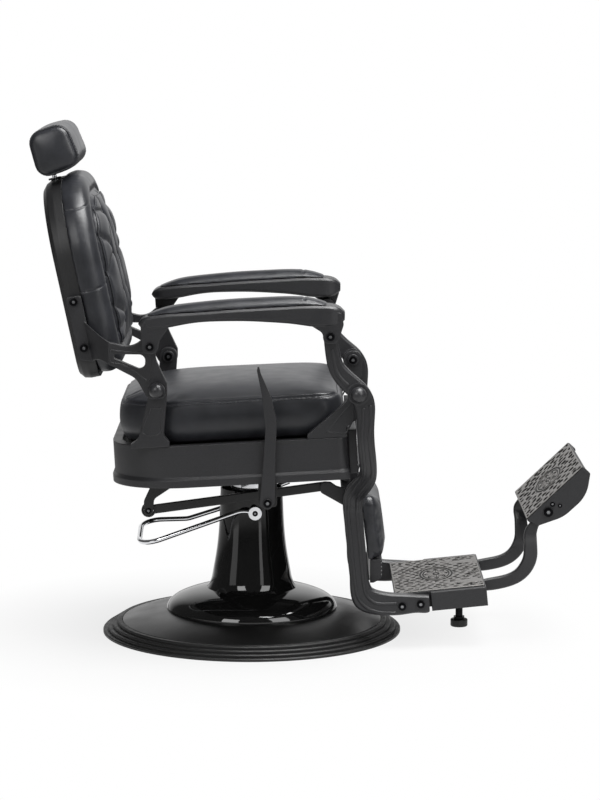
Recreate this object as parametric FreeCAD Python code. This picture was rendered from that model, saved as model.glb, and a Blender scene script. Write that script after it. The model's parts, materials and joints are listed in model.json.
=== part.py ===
import FreeCAD, Part
import math
import os

Vector = FreeCAD.Vector

# Barber chair, in millimetres. +X is the front of the chair, -Y its right side, +Z up.
# The origin is the centre of the base on the floor. The chair stands at its lowest height.

# Cross-sections drawn between two stations of a swept casting and of a cushion
casting_steps = 2
cushion_steps = 3

# Clearances
running_clearance = 0.05
seat_clearance = 0.3
layer_gap = 2.0
open_pivot_clearance = 1.5
boss_proud = 0.7

# Base
base_radius = 330.0
rim_width = 42.0
rim_height = 26.0
rim_steps = 4
base_plate_thickness = 12.0
cover_wall = 3.0
cover_crown = 24.0
bell_flange_radius = 189.0
bell_waist_radius = 81.0
bell_crease_radius = 99.5
bell_top_radius = 68.5
bell_top_height = 320.0
bell_wall = 2.5

# Hydraulic pump and ram
cylinder_radius = 42.0
cylinder_bore = 34.0
cylinder_flange_radius = 72.0
cylinder_flange_thickness = 12.0
gland_height = 22.0
gland_radius = 46.0
ram_radius = 30.0
piston_room = 56.0
piston_height = 20.0
collar_height = 12.0
spindle_radius = 20.0
spindle_length = 58.0
thrust_washer_thickness = 3.0
flange_bolt_count = 4
flange_bolt_radius = 5.0
flange_bolt_circle = 57.0

# Bolts of the back and the leg rest
bolt_radius = 4.7
bolt_head_radius = 8.5
bolt_head_height = 5.0

# Pump pedal
pedal_pivot_x = 9.0
pedal_pivot_drop = 44.0
pedal_half_width = 82.0
pedal_reach = 246.5
pedal_rod_radius = 5.5
pedal_eye_radius = 13.0
pedal_eye_width = 12.0
pedal_sweep_room = 10.0
pedal_sweep_drop = 34.0
trunnion_radius = 7.0
plunger_radius = 6.0
plunger_stand = 26.0

# Seat frame: the seat plane rises towards the front
seat_tilt = 3.1
seat_datum = 374.0
apron_height = 89.0
apron_half_width = 285.0
apron_rear = 293.0
apron_front = 213.0
apron_rear_radius = 165.0
apron_front_radius = 22.0
apron_wall = 4.0
apron_lip = 21.0
apron_flare = 5.0
apron_band = 15.0
seat_plate_rise = 22.0
seat_plate_thickness = 10.0
seat_plate_rear = -90.0
rail_offset = 205.0
rail_width = 20.0
rail_wing_spots = (-80.0, 110.0)
rail_wing_width = 34.0
rail_wing_thickness = 6.0
board_rise = 74.0
board_thickness = 12.0
trim_thickness = 18.0
trim_drop = 22.0
trim_rise = 103.0
trim_notch_width = 80.0
trim_notch_height = 30.0

# Seat cushion
cushion_half_width = 261.0
cushion_rear = 279.0
cushion_front = 206.0
cushion_wall_height = 92.0
cushion_crown = 20.0

# Linkage pivots, as X and Z
rear_pivot_x = -193.0
rear_pivot_z = 578.0
front_pivot_x = 229.0
front_pivot_z = 570.0
arm_rear_setback = 14.0
arm_rear_rise = 94.0
arm_front_setback = 59.0
arm_front_rise = 123.0
crank_pivot_x = -155.0
crank_pivot_z = 424.0
crank_setback = 65.0
crank_drop = 127.0
lug_setback = 68.0
lug_drop = 221.0

# Side layers, as distances from the middle plane
post_inner = 263.0
post_thickness = 20.0
bracket_thickness = 18.0
leg_thickness = 27.0
arm_lug_thickness = 16.0
arm_width = 74.0
pivot_radius = 8.0
pivot_ball_radius = 17.0
pivot_eye_radius = 20.0
arm_eye_radius = 15.0
leg_boss_radius = 23.0
arm_pin_radius = 6.0
link_plane = 155.0
link_thickness = 9.0
crank_thickness = 8.0
crank_shaft_radius = 9.0
link_pin_radius = 6.0
tie_bar_height = 19.0
tie_eye_radius = 15.5
tie_open_clearance = 4.6

# Back
back_tilt = 12.0
back_foot_x = -339.0
back_foot_z = 588.0
shell_height = 421.0
shell_half_width = 232.0
shell_thickness = 42.0
shell_top_radius = 160.0
shell_bottom_radius = 50.0
back_pad_lift = 12.0
border_depth = 60.0
tuft_depth = 18.0
tuft_rows = 4
tuft_pitch_y = 92.0
tuft_pitch_z = 76.0
button_radius = 8.0
bracket_strip_thickness = 12.0
shell_bolt_forward = 4.0
shell_bolt_rises = (72.0, 172.0)

# Headrest
headrest_half_width = 130.0
headrest_rod_radius = 5.0
headrest_rod_offset = 0.0
headrest_socket_wall = 4.0
headrest_board_thickness = 9.0
headrest_board_rise = 24.0
headrest_rod_depth = 150.0
headrest_stand = 16.0

# Arm pads
arm_pad_width = 66.0

# Recline lever
lever_pivot_x = 38.0
lever_pivot_z = 336.0
lever_length = 297.0
lever_thickness = 9.0
lever_stud_radius = 6.0

# Leg rest
rail_plane = 186.0
rail_height = 95.5
footplate_front = 510.0
footplate_rear = 311.0
footplate_half_width = 190.0
footplate_tilt = 5.7
footplate_thickness = 8.0
footplate_skirt = 40.0
footplate_wall = 8.0
calf_board_thickness = 7.0
calf_pad_depth = 27.0
calf_top = 330.0
calf_bottom = 188.0
calf_back_top = 240.5
calf_back_bottom = 258.5
cross_tube_radius = 12.0
cross_tube_drop = 46.0
kick_bottom = 137.0
kick_depth = 26.0
kick_ribs = 5
kick_rib_depth = 2.5

# Upper footrest
footrest_pivot_x = 642.0
footrest_pivot_z = 294.0
footrest_half_width = 172.0
footrest_slope = 43.5
footrest_length = 167.0
tread_thickness = 10.0
cheek_thickness = 7.0
footrest_bolt_radius = 6.0
arm_entry = 110.0
strap_thickness = 14.0
strap_eye_radius = 8.4
strap_pocket_clearance = 1.2

# Anti-tip foot
foot_x = 461.0
foot_screw_radius = 8.0
foot_pad_radius = 19.0
foot_pad_height = 17.0
foot_clearance = 6.0
foot_screw_room = 4.0

# Values that follow from the sizes above
arm_rear_x = rear_pivot_x - arm_rear_setback
arm_rear_z = rear_pivot_z + arm_rear_rise
arm_front_x = front_pivot_x - arm_front_setback
arm_front_z = front_pivot_z + arm_front_rise
crank_end_x = crank_pivot_x - crank_setback
crank_end_z = crank_pivot_z - crank_drop
lug_x = front_pivot_x - lug_setback
lug_z = front_pivot_z - lug_drop
post_outer = post_inner + post_thickness
layer_inner = post_outer + layer_gap
bracket_outer = layer_inner + bracket_thickness
leg_outer = layer_inner + leg_thickness
arm_lug_inner = leg_outer + layer_gap
arm_lug_outer = arm_lug_inner + arm_lug_thickness
arm_centre = arm_lug_outer - arm_width / 2 + 4.0
pedal_pivot_height = bell_top_height - pedal_pivot_drop
headrest_rise = shell_height + headrest_stand
cylinder_top = bell_top_height - 20.0
gland_top = cylinder_top + gland_height
washer_bottom = gland_top + collar_height
washer_top = washer_bottom + thrust_washer_thickness
footplate_rear_height = rail_height + 17.0
tilt_tangent = math.tan(math.radians(seat_tilt))
tilt_cosine = math.cos(math.radians(seat_tilt))


def seat_height(x, rise):
    return seat_datum + x * tilt_tangent + rise / tilt_cosine


def on_seat(shape):
    return shape.rotated(Vector(0, 0, seat_datum), Vector(0, 1, 0), -seat_tilt)


def on_back(shape):
    placed = shape.translated(Vector(back_foot_x, 0, back_foot_z))
    return placed.rotated(Vector(back_foot_x, 0, back_foot_z), Vector(0, 1, 0), -back_tilt)


def back_point(forward, up):
    angle = math.radians(back_tilt)
    x = back_foot_x + forward * math.cos(angle) - up * math.sin(angle)
    z = back_foot_z + forward * math.sin(angle) + up * math.cos(angle)
    return x, z


def mirrored(shape):
    return shape.mirror(Vector(0, 0, 0), Vector(0, 1, 0))


def joined(shapes):
    whole = shapes[0]
    for shape in shapes[1:]:
        whole = whole.fuse(shape)
    return whole.removeSplitter()


def grouped(shapes):
    return Part.makeCompound(shapes)


def bar(start, end, radius):
    direction = end - start
    return Part.makeCylinder(radius, direction.Length, start, direction)


def cross_bar(x, z, radius, y_start, y_end):
    return bar(Vector(x, y_start, z), Vector(x, y_end, z), radius)


def upright_bar(x, y, radius, z_start, z_end):
    return bar(Vector(x, y, z_start), Vector(x, y, z_end), radius)


def drilled(shape, x, z, radius, y_start, y_end):
    return shape.cut(cross_bar(x, z, radius, y_start, y_end))


def rounded_wire(corners, place):
    # Closed wire of straight runs with a tangent arc at each corner that has a radius.
    entries = []
    exits = []
    edges = []
    for index, (a, b, radius) in enumerate(corners):
        before = corners[index - 1]
        after = corners[(index + 1) % len(corners)]
        back = Vector(before[0] - a, before[1] - b, 0).normalize()
        ahead = Vector(after[0] - a, after[1] - b, 0).normalize()
        corner = Vector(a, b, 0)
        half = back.getAngle(ahead) / 2
        reach = radius / math.tan(half)
        entries.append(corner + back * reach)
        exits.append(corner + ahead * reach)
        if radius > 0:
            bisector = (back + ahead).normalize()
            middle = corner + bisector * (radius / math.sin(half) - radius)
            ends = [place(p.x, p.y) for p in (entries[-1], middle, exits[-1])]
            edges.append(Part.Arc(*ends).toShape())
    for index, start in enumerate(exits):
        end = entries[(index + 1) % len(entries)]
        if (end - start).Length > 0.001:
            edges.append(Part.LineSegment(place(start.x, start.y), place(end.x, end.y)).toShape())
    return Part.Wire(Part.__sortEdges__(edges))


def side_plate(corners, y_start, y_end):
    wire = rounded_wire(corners, lambda x, z: Vector(x, y_start, z))
    return Part.Face(wire).extrude(Vector(0, y_end - y_start, 0))


def level_plate(corners, z_start, z_end):
    wire = rounded_wire(corners, lambda x, y: Vector(x, y, z_start))
    return Part.Face(wire).extrude(Vector(0, 0, z_end - z_start))


def spun(wire):
    return Part.Face(wire).revolve(Vector(0, 0, 0), Vector(0, 0, 1), 360)


def spun_outline(points):
    return spun(Part.makePolygon([Vector(r, 0, z) for r, z in points + points[:1]]))


def profile(runs):
    # Closed wire of radius and height points; a run has two points, or three for an arc.
    edges = []
    for run in runs:
        points = [Vector(r, 0, z) for r, z in run]
        curve = Part.Arc(*points) if len(points) == 3 else Part.LineSegment(*points)
        edges.append(curve.toShape())
    return Part.Wire(edges)


def flange_bolt_spots():
    spots = []
    for index in range(flange_bolt_count):
        angle = 2 * math.pi * (index + 0.5) / flange_bolt_count
        spots.append((flange_bolt_circle * math.cos(angle), flange_bolt_circle * math.sin(angle)))
    return spots


def block(x_start, x_end, y_start, y_end, z_start, z_end):
    corner = Vector(x_start, min(y_start, y_end), z_start)
    return Part.makeBox(x_end - x_start, abs(y_end - y_start), z_end - z_start, corner)


def bent_rod(points, radius, bend):
    # Round rod through the points, each inner corner rounded by a tangent arc.
    edges = []
    start = points[0]
    for before, corner, after in zip(points, points[1:], points[2:]):
        back = (before - corner).normalize()
        ahead = (after - corner).normalize()
        half = back.getAngle(ahead) / 2
        room = 0.45 * min((before - corner).Length, (after - corner).Length)
        reach = min(bend / math.tan(half), room)
        arc_radius = reach * math.tan(half)
        middle = corner + (back + ahead).normalize() * (arc_radius / math.sin(half) - arc_radius)
        edges.append(Part.LineSegment(start, corner + back * reach).toShape())
        edges.append(Part.Arc(corner + back * reach, middle, corner + ahead * reach).toShape())
        start = corner + ahead * reach
    edges.append(Part.LineSegment(start, points[-1]).toShape())
    circle = Part.Circle(points[0], points[1] - points[0], radius).toShape()
    return Part.Wire(edges).makePipeShell([Part.Wire(circle)], True, False)


def slope(before, value, after):
    # Level at a turning point, so that the curve never swings past its stations.
    if (value - before) * (after - value) <= 0:
        return 0.0
    return (after - before) / 2


def between(before, start, end, after, share):
    # Point on a smooth curve through the stations, at a share of the way from start to end.
    square = share * share
    cube = square * share
    point = []
    for p0, p1, p2, p3 in zip(before, start, end, after):
        point.append((2 * cube - 3 * square + 1) * p1 + (3 * square - 2 * cube) * p2
                     + (cube - 2 * square + share) * slope(p0, p1, p2)
                     + (cube - square) * slope(p1, p2, p3))
    return tuple(point)


def smoothed(stations, steps):
    result = []
    last = len(stations) - 1
    for index in range(last):
        before = stations[max(index - 1, 0)]
        after = stations[min(index + 2, last)]
        for step in range(steps):
            result.append(between(before, stations[index], stations[index + 1], after, step / steps))
    result.append(stations[last])
    return result


def directions(stations):
    # Direction of travel in the side view at each station, from its neighbours.
    result = []
    for index in range(len(stations)):
        before = stations[max(index - 1, 0)]
        after = stations[min(index + 1, len(stations) - 1)]
        result.append(Vector(after[0] - before[0], 0, after[2] - before[2]).normalize())
    return result


def casting(stations, edge):
    # Loft of chamfered rectangles; a station is X, Y, Z, depth in the side view and breadth in Y.
    wires = []
    stations = smoothed(stations, casting_steps)
    for (x, y, z, depth, breadth), along in zip(stations, directions(stations)):
        across = Vector(-along.z, 0, along.x)
        half_depth = depth / 2
        half_breadth = breadth / 2
        offsets = [
            (half_depth, half_breadth - edge), (half_depth - edge, half_breadth),
            (edge - half_depth, half_breadth), (-half_depth, half_breadth - edge),
            (-half_depth, edge - half_breadth), (edge - half_depth, -half_breadth),
            (half_depth - edge, -half_breadth), (half_depth, edge - half_breadth),
        ]
        ring = [Vector(x, y, z) + across * d + Vector(0, b, 0) for d, b in offsets]
        wires.append(Part.makePolygon(ring + ring[:1]))
    return Part.makeLoft(wires, True, False)


def padded_loft(ring, stations):
    # Loft of straight runs between rings that follow a smooth line through the stations.
    rings = [ring(*station) for station in smoothed(stations, cushion_steps)]
    return Part.makeLoft(rings, True, True)


def base_parts():
    rim_inner = base_radius - rim_width
    plate_radius = rim_inner - seat_clearance
    plate = Part.makeCylinder(plate_radius, base_plate_thickness)
    bolts = []
    bolt_foot = base_plate_thickness / 3
    bolt_seat = base_plate_thickness + cylinder_flange_thickness
    for x, y in flange_bolt_spots():
        shank = upright_bar(x, y, flange_bolt_radius, bolt_foot, bolt_seat)
        head = upright_bar(x, y, 1.7 * flange_bolt_radius, bolt_seat, bolt_seat + flange_bolt_radius)
        bolts.append(shank.fuse(head).removeSplitter())
        plate = plate.cut(upright_bar(x, y, flange_bolt_radius + seat_clearance, bolt_foot, bolt_seat))

    steps = [(rim_inner, 0), (base_radius, 0)]
    step_width = rim_width / rim_steps
    step_height = rim_height / rim_steps
    for index in range(rim_steps):
        radius = base_radius - index * step_width
        top = (index + 1) * step_height
        steps.append((radius, top - step_height / 3))
        steps.append((radius - step_height / 3, top))
        steps.append((radius - step_width, top))
    rim = spun_outline(steps)

    # Dished cover from the plate's edge up to the foot of the bell, open over the pump flange.
    edge = plate_radius - 1.0
    inside = edge - cover_wall
    low = base_plate_thickness
    high = rim_height + cover_crown
    under = high - cover_wall
    hole = cylinder_flange_radius + 8.0
    middle_radius = (edge + bell_flange_radius) / 2
    middle_height = rim_height + 0.6 * cover_crown
    cover = spun(profile([
        [(inside, low), (edge, low)],
        [(edge, low), (edge, rim_height)],
        [(edge, rim_height), (middle_radius, middle_height), (bell_flange_radius, high)],
        [(bell_flange_radius, high), (hole, high)],
        [(hole, high), (hole, under)],
        [(hole, under), (bell_flange_radius, under)],
        [(bell_flange_radius, under), (middle_radius, middle_height - cover_wall),
         (inside, rim_height - cover_wall)],
        [(inside, rim_height - cover_wall), (inside, low)],
    ]))
    return plate, rim, cover, bell_cover(high), grouped(bolts)


def bell_cover(floor):
    # Domed flange up to the crease, then the waisted trunk.
    rise = bell_top_height - floor
    flange_width = bell_flange_radius - bell_crease_radius
    flange = [
        (bell_flange_radius, floor + 4.0),
        (bell_flange_radius - 0.1 * flange_width, floor + 0.067 * rise),
        (bell_flange_radius - 0.38 * flange_width, floor + 0.12 * rise),
        (bell_flange_radius - 0.72 * flange_width, floor + 0.155 * rise),
        (bell_crease_radius, floor + 0.174 * rise),
    ]
    trunk = [
        flange[-1],
        (bell_waist_radius + 8.5, floor + 0.245 * rise),
        (bell_waist_radius + 5.0, floor + 0.31 * rise),
        (bell_waist_radius, floor + 0.41 * rise),
        (bell_waist_radius - 5.0, floor + 0.53 * rise),
        (bell_top_radius + 4.0, floor + 0.66 * rise),
        (bell_top_radius, bell_top_height),
    ]

    def curve(points, inwards, down):
        line = Part.BSplineCurve()
        line.interpolate([Vector(r - inwards, 0, z - down) for r, z in points])
        return line

    wall = bell_wall
    lip = curve(flange, 0, 0)
    body = curve(trunk, 0, 0)
    lip_inside = curve(flange, wall, wall)
    trunk_rise = bell_top_height - trunk[0][1]
    body_inside = curve([(r, z - wall * (bell_top_height - z) / trunk_rise) for r, z in trunk], wall, 0)
    foot_outer = Vector(bell_flange_radius, 0, floor)
    foot_inner = Vector(bell_flange_radius - wall, 0, floor)
    edges = [
        lip.toShape(), body.toShape(), lip_inside.toShape(), body_inside.toShape(),
        Part.LineSegment(body.EndPoint, body_inside.EndPoint).toShape(),
        Part.LineSegment(lip_inside.StartPoint, foot_inner).toShape(),
        Part.LineSegment(foot_inner, foot_outer).toShape(),
        Part.LineSegment(foot_outer, lip.StartPoint).toShape(),
    ]
    bell = spun(Part.Wire(Part.__sortEdges__(edges)))
    hub_hole = pedal_eye_radius + 1.0
    through = pedal_half_width
    return drilled(bell, pedal_pivot_x, pedal_pivot_height, hub_hole, -through, through)


def pump_parts():
    floor = base_plate_thickness
    flange_top = floor + cylinder_flange_thickness
    cylinder = upright_bar(0, 0, cylinder_radius, floor, cylinder_top)
    flange = upright_bar(0, 0, cylinder_flange_radius, floor, flange_top)
    boss_end = cylinder_radius + 2.0
    boss = cross_bar(pedal_pivot_x, pedal_pivot_height, trunnion_radius + 4.0, -boss_end, boss_end)
    plunger_x, plunger_y = plunger_spot()
    barrel_low = pedal_pivot_height - 3.2 * plunger_stand
    barrel_high = pedal_pivot_height - 1.2 * plunger_stand
    barrel = upright_bar(plunger_x, plunger_y, plunger_radius + 5.0, barrel_low, barrel_high)
    web = block(plunger_x - 4.0, plunger_x + 4.0, plunger_y, 0, barrel_low, barrel_high)
    body = joined([cylinder, flange, boss, barrel, web])
    body = body.cut(upright_bar(0, 0, cylinder_bore, flange_top, cylinder_top))
    barrel_bore = plunger_radius + running_clearance
    body = body.cut(upright_bar(plunger_x, plunger_y, barrel_bore, barrel_low + 5.0, barrel_high))
    for x, y in flange_bolt_spots():
        body = body.cut(upright_bar(x, y, flange_bolt_radius + seat_clearance, floor, flange_top))

    gland = upright_bar(0, 0, gland_radius, cylinder_top, gland_top)
    gland = gland.cut(upright_bar(0, 0, ram_radius + running_clearance, cylinder_top, gland_top))

    ram_low = flange_top + piston_room + piston_height
    collar_radius = gland_radius - 1.0
    ram = joined([
        upright_bar(0, 0, ram_radius, ram_low, gland_top),
        upright_bar(0, 0, collar_radius, gland_top, washer_bottom),
        upright_bar(0, 0, spindle_radius, washer_bottom, washer_bottom + spindle_length),
    ])
    piston = upright_bar(0, 0, cylinder_bore - running_clearance, ram_low - piston_height, ram_low)
    washer = upright_bar(0, 0, collar_radius, washer_bottom, washer_top)
    washer = washer.cut(upright_bar(0, 0, spindle_radius + seat_clearance, washer_bottom, washer_top))

    plunger = upright_bar(plunger_x, plunger_y, plunger_radius, barrel_low + 16.0, plunger_top())
    trunnions = []
    head = pedal_half_width + pedal_eye_width / 2 + seat_clearance
    for side in (-1, 1):
        shaft = cross_bar(pedal_pivot_x, pedal_pivot_height, trunnion_radius, side * boss_end, side * head)
        cap = cross_bar(pedal_pivot_x, pedal_pivot_height, pedal_eye_radius + 1.5,
                        side * head, side * (head + 3.2))
        trunnions.append(shaft.fuse(cap).removeSplitter())
    return body, gland, ram, piston, washer, plunger, grouped(trunnions)


def plunger_spot():
    x = pedal_pivot_x - plunger_stand - 3.0
    y = -(pedal_half_width - 1.5 * pedal_eye_width - plunger_stand / 2 + 1.0)
    return x, y


def plunger_top():
    return pedal_pivot_height - pedal_rod_radius - seat_clearance


def pump_pedal():
    px = pedal_pivot_x
    pz = pedal_pivot_height
    near = -pedal_half_width
    far = pedal_half_width
    kink = Vector(px - 29.0, near, pz + 5.0)
    path = [
        Vector(px, near, pz),
        kink,
        Vector(-pedal_reach, near, pz - 76.0),
        Vector(-pedal_reach, far, pz - 45.0),
        Vector(px - 153.0, far, pz - 42.0),
        Vector(px - 84.0, far, pz - 20.0),
        Vector(px + 74.0, far, pz + 42.0),
    ]
    rod = bent_rod(path, pedal_rod_radius, 50.0)
    half_eye = pedal_eye_width / 2
    plunger_x, plunger_y = plunger_spot()
    finger_inner = plunger_y + plunger_radius
    near_eye = cross_bar(px, pz, pedal_eye_radius, near - half_eye, finger_inner)
    far_eye = cross_bar(px, pz, pedal_eye_radius, far - half_eye, far + half_eye)
    finger = block(plunger_x - plunger_radius, px, plunger_y - plunger_radius, finger_inner,
                   pz - pedal_rod_radius, pz + pedal_rod_radius)
    whole = joined([rod, near_eye, far_eye, finger])
    hole = trunnion_radius + running_clearance
    return drilled(whole, px, pz, hole, near - pedal_eye_width, far + pedal_eye_width)


def pedal_sweep():
    # Room that the pedal's loop passes through when the seat is turned round above it.
    radius = pedal_reach + pedal_sweep_room
    return upright_bar(0, 0, radius, calf_bottom - 1.0, pedal_pivot_height - pedal_sweep_drop)


def apron_outline(grow, rise):
    left = -(apron_rear + grow)
    right = apron_front + grow
    half = apron_half_width + grow
    rear_radius = apron_rear_radius + grow
    front_radius = max(apron_front_radius + grow, 2.0)
    corners = [(left, -half, rear_radius), (right, -half, front_radius),
               (right, half, front_radius), (left, half, rear_radius)]
    return rounded_wire(corners, lambda x, y: Vector(x, y, seat_datum + rise))


def apron_prism(grow, low, high):
    return Part.Face(apron_outline(grow, low)).extrude(Vector(0, 0, high - low))


def apron():
    band_top = apron_band + 7.0
    band_rings = [apron_outline(apron_flare, apron_band), apron_outline(0, band_top)]
    solid = joined([
        apron_prism(apron_flare, 0, apron_band),
        Part.makeLoft(band_rings, True, True),
        apron_prism(0, band_top, apron_height),
    ])
    under_lip = apron_height - apron_wall
    solid = solid.cut(apron_prism(-apron_wall, -1.0, under_lip))
    solid = solid.cut(apron_prism(-apron_lip, under_lip - 1.0, apron_height + 1.0))
    # No flare on the front, where the trim plate lies flat against the apron.
    beyond = 2 * apron_half_width
    front = block(apron_front, apron_front + beyond, -beyond, beyond,
                  seat_datum - 1.0, seat_datum + apron_height)
    return on_seat(solid.cut(front))


def seat_frame_parts():
    plate_low = seat_datum + seat_plate_rise
    plate_high = plate_low + seat_plate_thickness
    rail_high = seat_datum + board_rise
    rail_outer = rail_offset + rail_width
    rail_front = apron_front - 18.0
    plate = on_seat(block(seat_plate_rear, rail_front, -rail_outer, rail_outer, plate_low, plate_high))

    # The socket turns on the ram's spindle and is cut off along the under side of the seat plate.
    socket_radius = spindle_radius + 14.0
    bore_end = washer_bottom + spindle_length + 1.0
    socket = upright_bar(0, 0, socket_radius, washer_top, seat_height(0, board_rise))
    socket = socket.cut(upright_bar(0, 0, spindle_radius + running_clearance, washer_bottom, bore_end))
    above = block(-2 * socket_radius, 2 * socket_radius, -2 * socket_radius, 2 * socket_radius,
                  plate_low, plate_low + 2 * apron_height)
    socket = socket.cut(on_seat(above))

    rail_rear = 0.4 * apron_rear_radius - apron_rear
    wall = apron_half_width - apron_wall - seat_clearance
    rails = []
    for side in (-1, 1):
        near = side * rail_offset
        pieces = [block(rail_rear, rail_front, near, side * rail_outer, plate_high, rail_high)]
        for wing_x in rail_wing_spots:
            pieces.append(block(wing_x, wing_x + rail_wing_width, near, side * wall,
                                plate_high, plate_high + rail_wing_thickness))
        hole = crank_shaft_radius + running_clearance
        rails.append(drilled(on_seat(joined(pieces)), crank_pivot_x, crank_pivot_z, hole,
                             side * (rail_offset - 5.0), side * (rail_outer + 5.0)))

    trim = block(apron_front + seat_clearance, apron_front + trim_thickness, -post_inner, post_inner,
                 seat_datum - trim_drop, seat_datum + trim_rise)
    corner_edges = [edge for edge in trim.Edges if abs(edge.tangentAt(edge.FirstParameter).x) > 0.9]
    trim = trim.makeFillet(3.0, corner_edges)
    # The legs pass the lower corners of the trim plate.
    trim_low = seat_datum - trim_drop
    for side in (-1, 1):
        trim = trim.cut(block(apron_front, apron_front + 2 * trim_thickness,
                              side * (post_inner - trim_notch_width), side * (post_inner + 1.0),
                              trim_low - 1.0, trim_low + trim_notch_height))
    trim = on_seat(trim)

    board = on_seat(apron_prism(-apron_lip - 6.0, board_rise, board_rise + board_thickness))
    return plate, socket, rails, trim, board


def cushion_ring(inset, rise):
    left = -(cushion_rear - inset)
    right = cushion_front - inset
    half = cushion_half_width - inset
    rear_radius = max(apron_rear_radius - 20.0 - inset, 30.0)
    front_radius = max(50.0 - 0.4 * inset, 14.0)
    corners = [(left, -half, rear_radius), (right, -half, front_radius),
               (right, half, front_radius), (left, half, rear_radius)]
    return rounded_wire(corners, lambda x, y: Vector(x, y, seat_datum + rise))


def seat_cushion():
    # Boxed cushion: drawn in at the foot and under the top seam, crowned on top.
    foot = board_rise + board_thickness + seat_clearance
    seam = foot + cushion_wall_height
    return on_seat(padded_loft(cushion_ring, [
        (18.0, foot),
        (0.0, foot + 0.34 * cushion_wall_height),
        (0.5, foot + 0.66 * cushion_wall_height),
        (9.0, seam),
        (40.0, seam + 0.6 * cushion_crown),
        (110.0, seam + cushion_crown),
    ]))


def rear_post():
    px = rear_pivot_x
    pz = rear_pivot_z
    foot_left = px - 58.0
    foot_right = px + 24.0
    eye = pivot_eye_radius
    corners = [
        (foot_left, seat_height(foot_left, apron_height), 0),
        (foot_right, seat_height(foot_right, apron_height), 0),
        (foot_right, seat_height(foot_right, apron_height) + 9.0, 4.0),
        (px + 12.0, seat_height(foot_right, apron_height) + 24.0, 12.0),
        (px + eye - 1.0, pz - 12.0, 10.0),
        (px + eye, pz + eye, eye - 2.0),
        (px - eye, pz + eye, eye - 2.0),
        (px - eye - 1.0, pz - 22.0, 20.0),
        (px - 42.0, seat_height(foot_left, apron_height) + 20.0, 14.0),
        (foot_left, seat_height(foot_left, apron_height) + 9.0, 4.0),
    ]
    post = side_plate(corners, -post_inner, -post_outer)
    hole = pivot_radius + running_clearance
    return drilled(post, px, pz, hole, -post_inner + 1.0, -post_outer - 1.0)


def front_post():
    px = front_pivot_x
    pz = front_pivot_z
    foot_left = px - 107.0
    foot_right = apron_front - 8.0
    eye = pivot_eye_radius
    corners = [
        (foot_left, seat_height(foot_left, apron_height), 0),
        (foot_right, seat_height(foot_right, apron_height), 0),
        (foot_right, seat_height(foot_right, trim_rise) + 8.0, 6.0),
        (px + eye, pz - 2.0 * eye, 10.0),
        (px + eye, pz + eye, eye - 2.0),
        (px - eye, pz + eye, eye - 2.0),
        (px - eye - 2.0, pz - 18.0, 14.0),
        (foot_left, seat_height(foot_left, apron_height) + 9.0, 4.0),
    ]
    post = side_plate(corners, -post_inner, -post_outer)
    hole = pivot_radius + running_clearance
    return drilled(post, px, pz, hole, -post_inner + 1.0, -post_outer - 1.0)


def pivot_bolt(x, z, outer):
    # Ball-headed pin through a post and the casting that turns on it.
    head = cross_bar(x, z, 1.6 * pivot_radius, -post_inner, -post_inner + 7.0)
    shaft = cross_bar(x, z, pivot_radius, -post_inner, -outer - pivot_ball_radius / 2)
    ball = Part.makeSphere(pivot_ball_radius, Vector(x, -outer - 0.8 * pivot_ball_radius, z))
    trim = cross_bar(x, z, 2 * pivot_ball_radius, -outer - seat_clearance, -outer + 2 * pivot_ball_radius)
    return joined([head, shaft, ball.cut(trim)])


def lever_parts():
    face = apron_half_width + apron_flare + layer_gap
    outside = face + lever_thickness
    px = lever_pivot_x
    pz = lever_pivot_z
    corners = [
        (px - 17.0, pz - 4.0, 13.0),
        (px + 2.0, pz - 19.0, 12.0),
        (px + 16.0, pz + 2.0, 12.0),
        (px + 17.0, pz + 110.0, 60.0),
        (px + 20.0, pz + 175.0, 60.0),
        (px + 8.0, pz + 226.0, 60.0),
        (px - 14.0, pz + 0.93 * lever_length, 20.0),
        (px - 19.0, pz + lever_length, 2.0),
        (px - 22.0, pz + 0.95 * lever_length, 6.0),
        (px - 12.0, pz + 232.0, 60.0),
        (px - 4.0, pz + 160.0, 80.0),
        (px - 8.0, pz + 100.0, 80.0),
    ]
    lever = side_plate(corners, -face, -outside)
    lever = drilled(lever, px, pz, lever_stud_radius + running_clearance, -face + 1.0, -outside - 1.0)

    # The bracket hangs the stud under the seat plate: tab, riser, strip and drop plate in one piece.
    inner = apron_half_width - apron_wall - seat_clearance
    rail_outer = rail_offset + rail_width
    plate_low = seat_datum + seat_plate_rise
    shelf = plate_low + seat_plate_thickness
    drop_half = 20.0
    drop_top = seat_height(px, seat_plate_rise + seat_plate_thickness) - 8.0
    drop = side_plate([
        (px - drop_half, pz - 12.0, 8.0), (px + drop_half, pz - 12.0, 8.0),
        (px + drop_half, drop_top, 0), (px - drop_half, drop_top, 0),
    ], -inner + 8.0, -inner)
    strip_half = 2 * drop_half
    tab_half = 1.7 * drop_half
    strip = block(px - strip_half, px + strip_half, -inner, -rail_outer - seat_clearance,
                  shelf - 12.0, shelf)
    tab = block(px - tab_half, px + tab_half, -rail_outer - 2.0, -rail_offset, plate_low - 5.0, plate_low)
    riser = block(px - tab_half, px + tab_half, -rail_outer - 8.0, -rail_outer - 0.5,
                  plate_low - 5.0, shelf - 1.0)
    stud = cross_bar(px, pz, lever_stud_radius, -inner + 2.0, -outside - seat_clearance)
    collar = cross_bar(px, pz, lever_stud_radius + 4.0, -inner, -face + seat_clearance)
    head = cross_bar(px, pz, lever_stud_radius + 3.0, -outside - seat_clearance, -outside - 5.0)
    bracket = joined([drop, on_seat(strip), on_seat(tab), on_seat(riser), stud, collar, head])
    return lever, bracket


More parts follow.
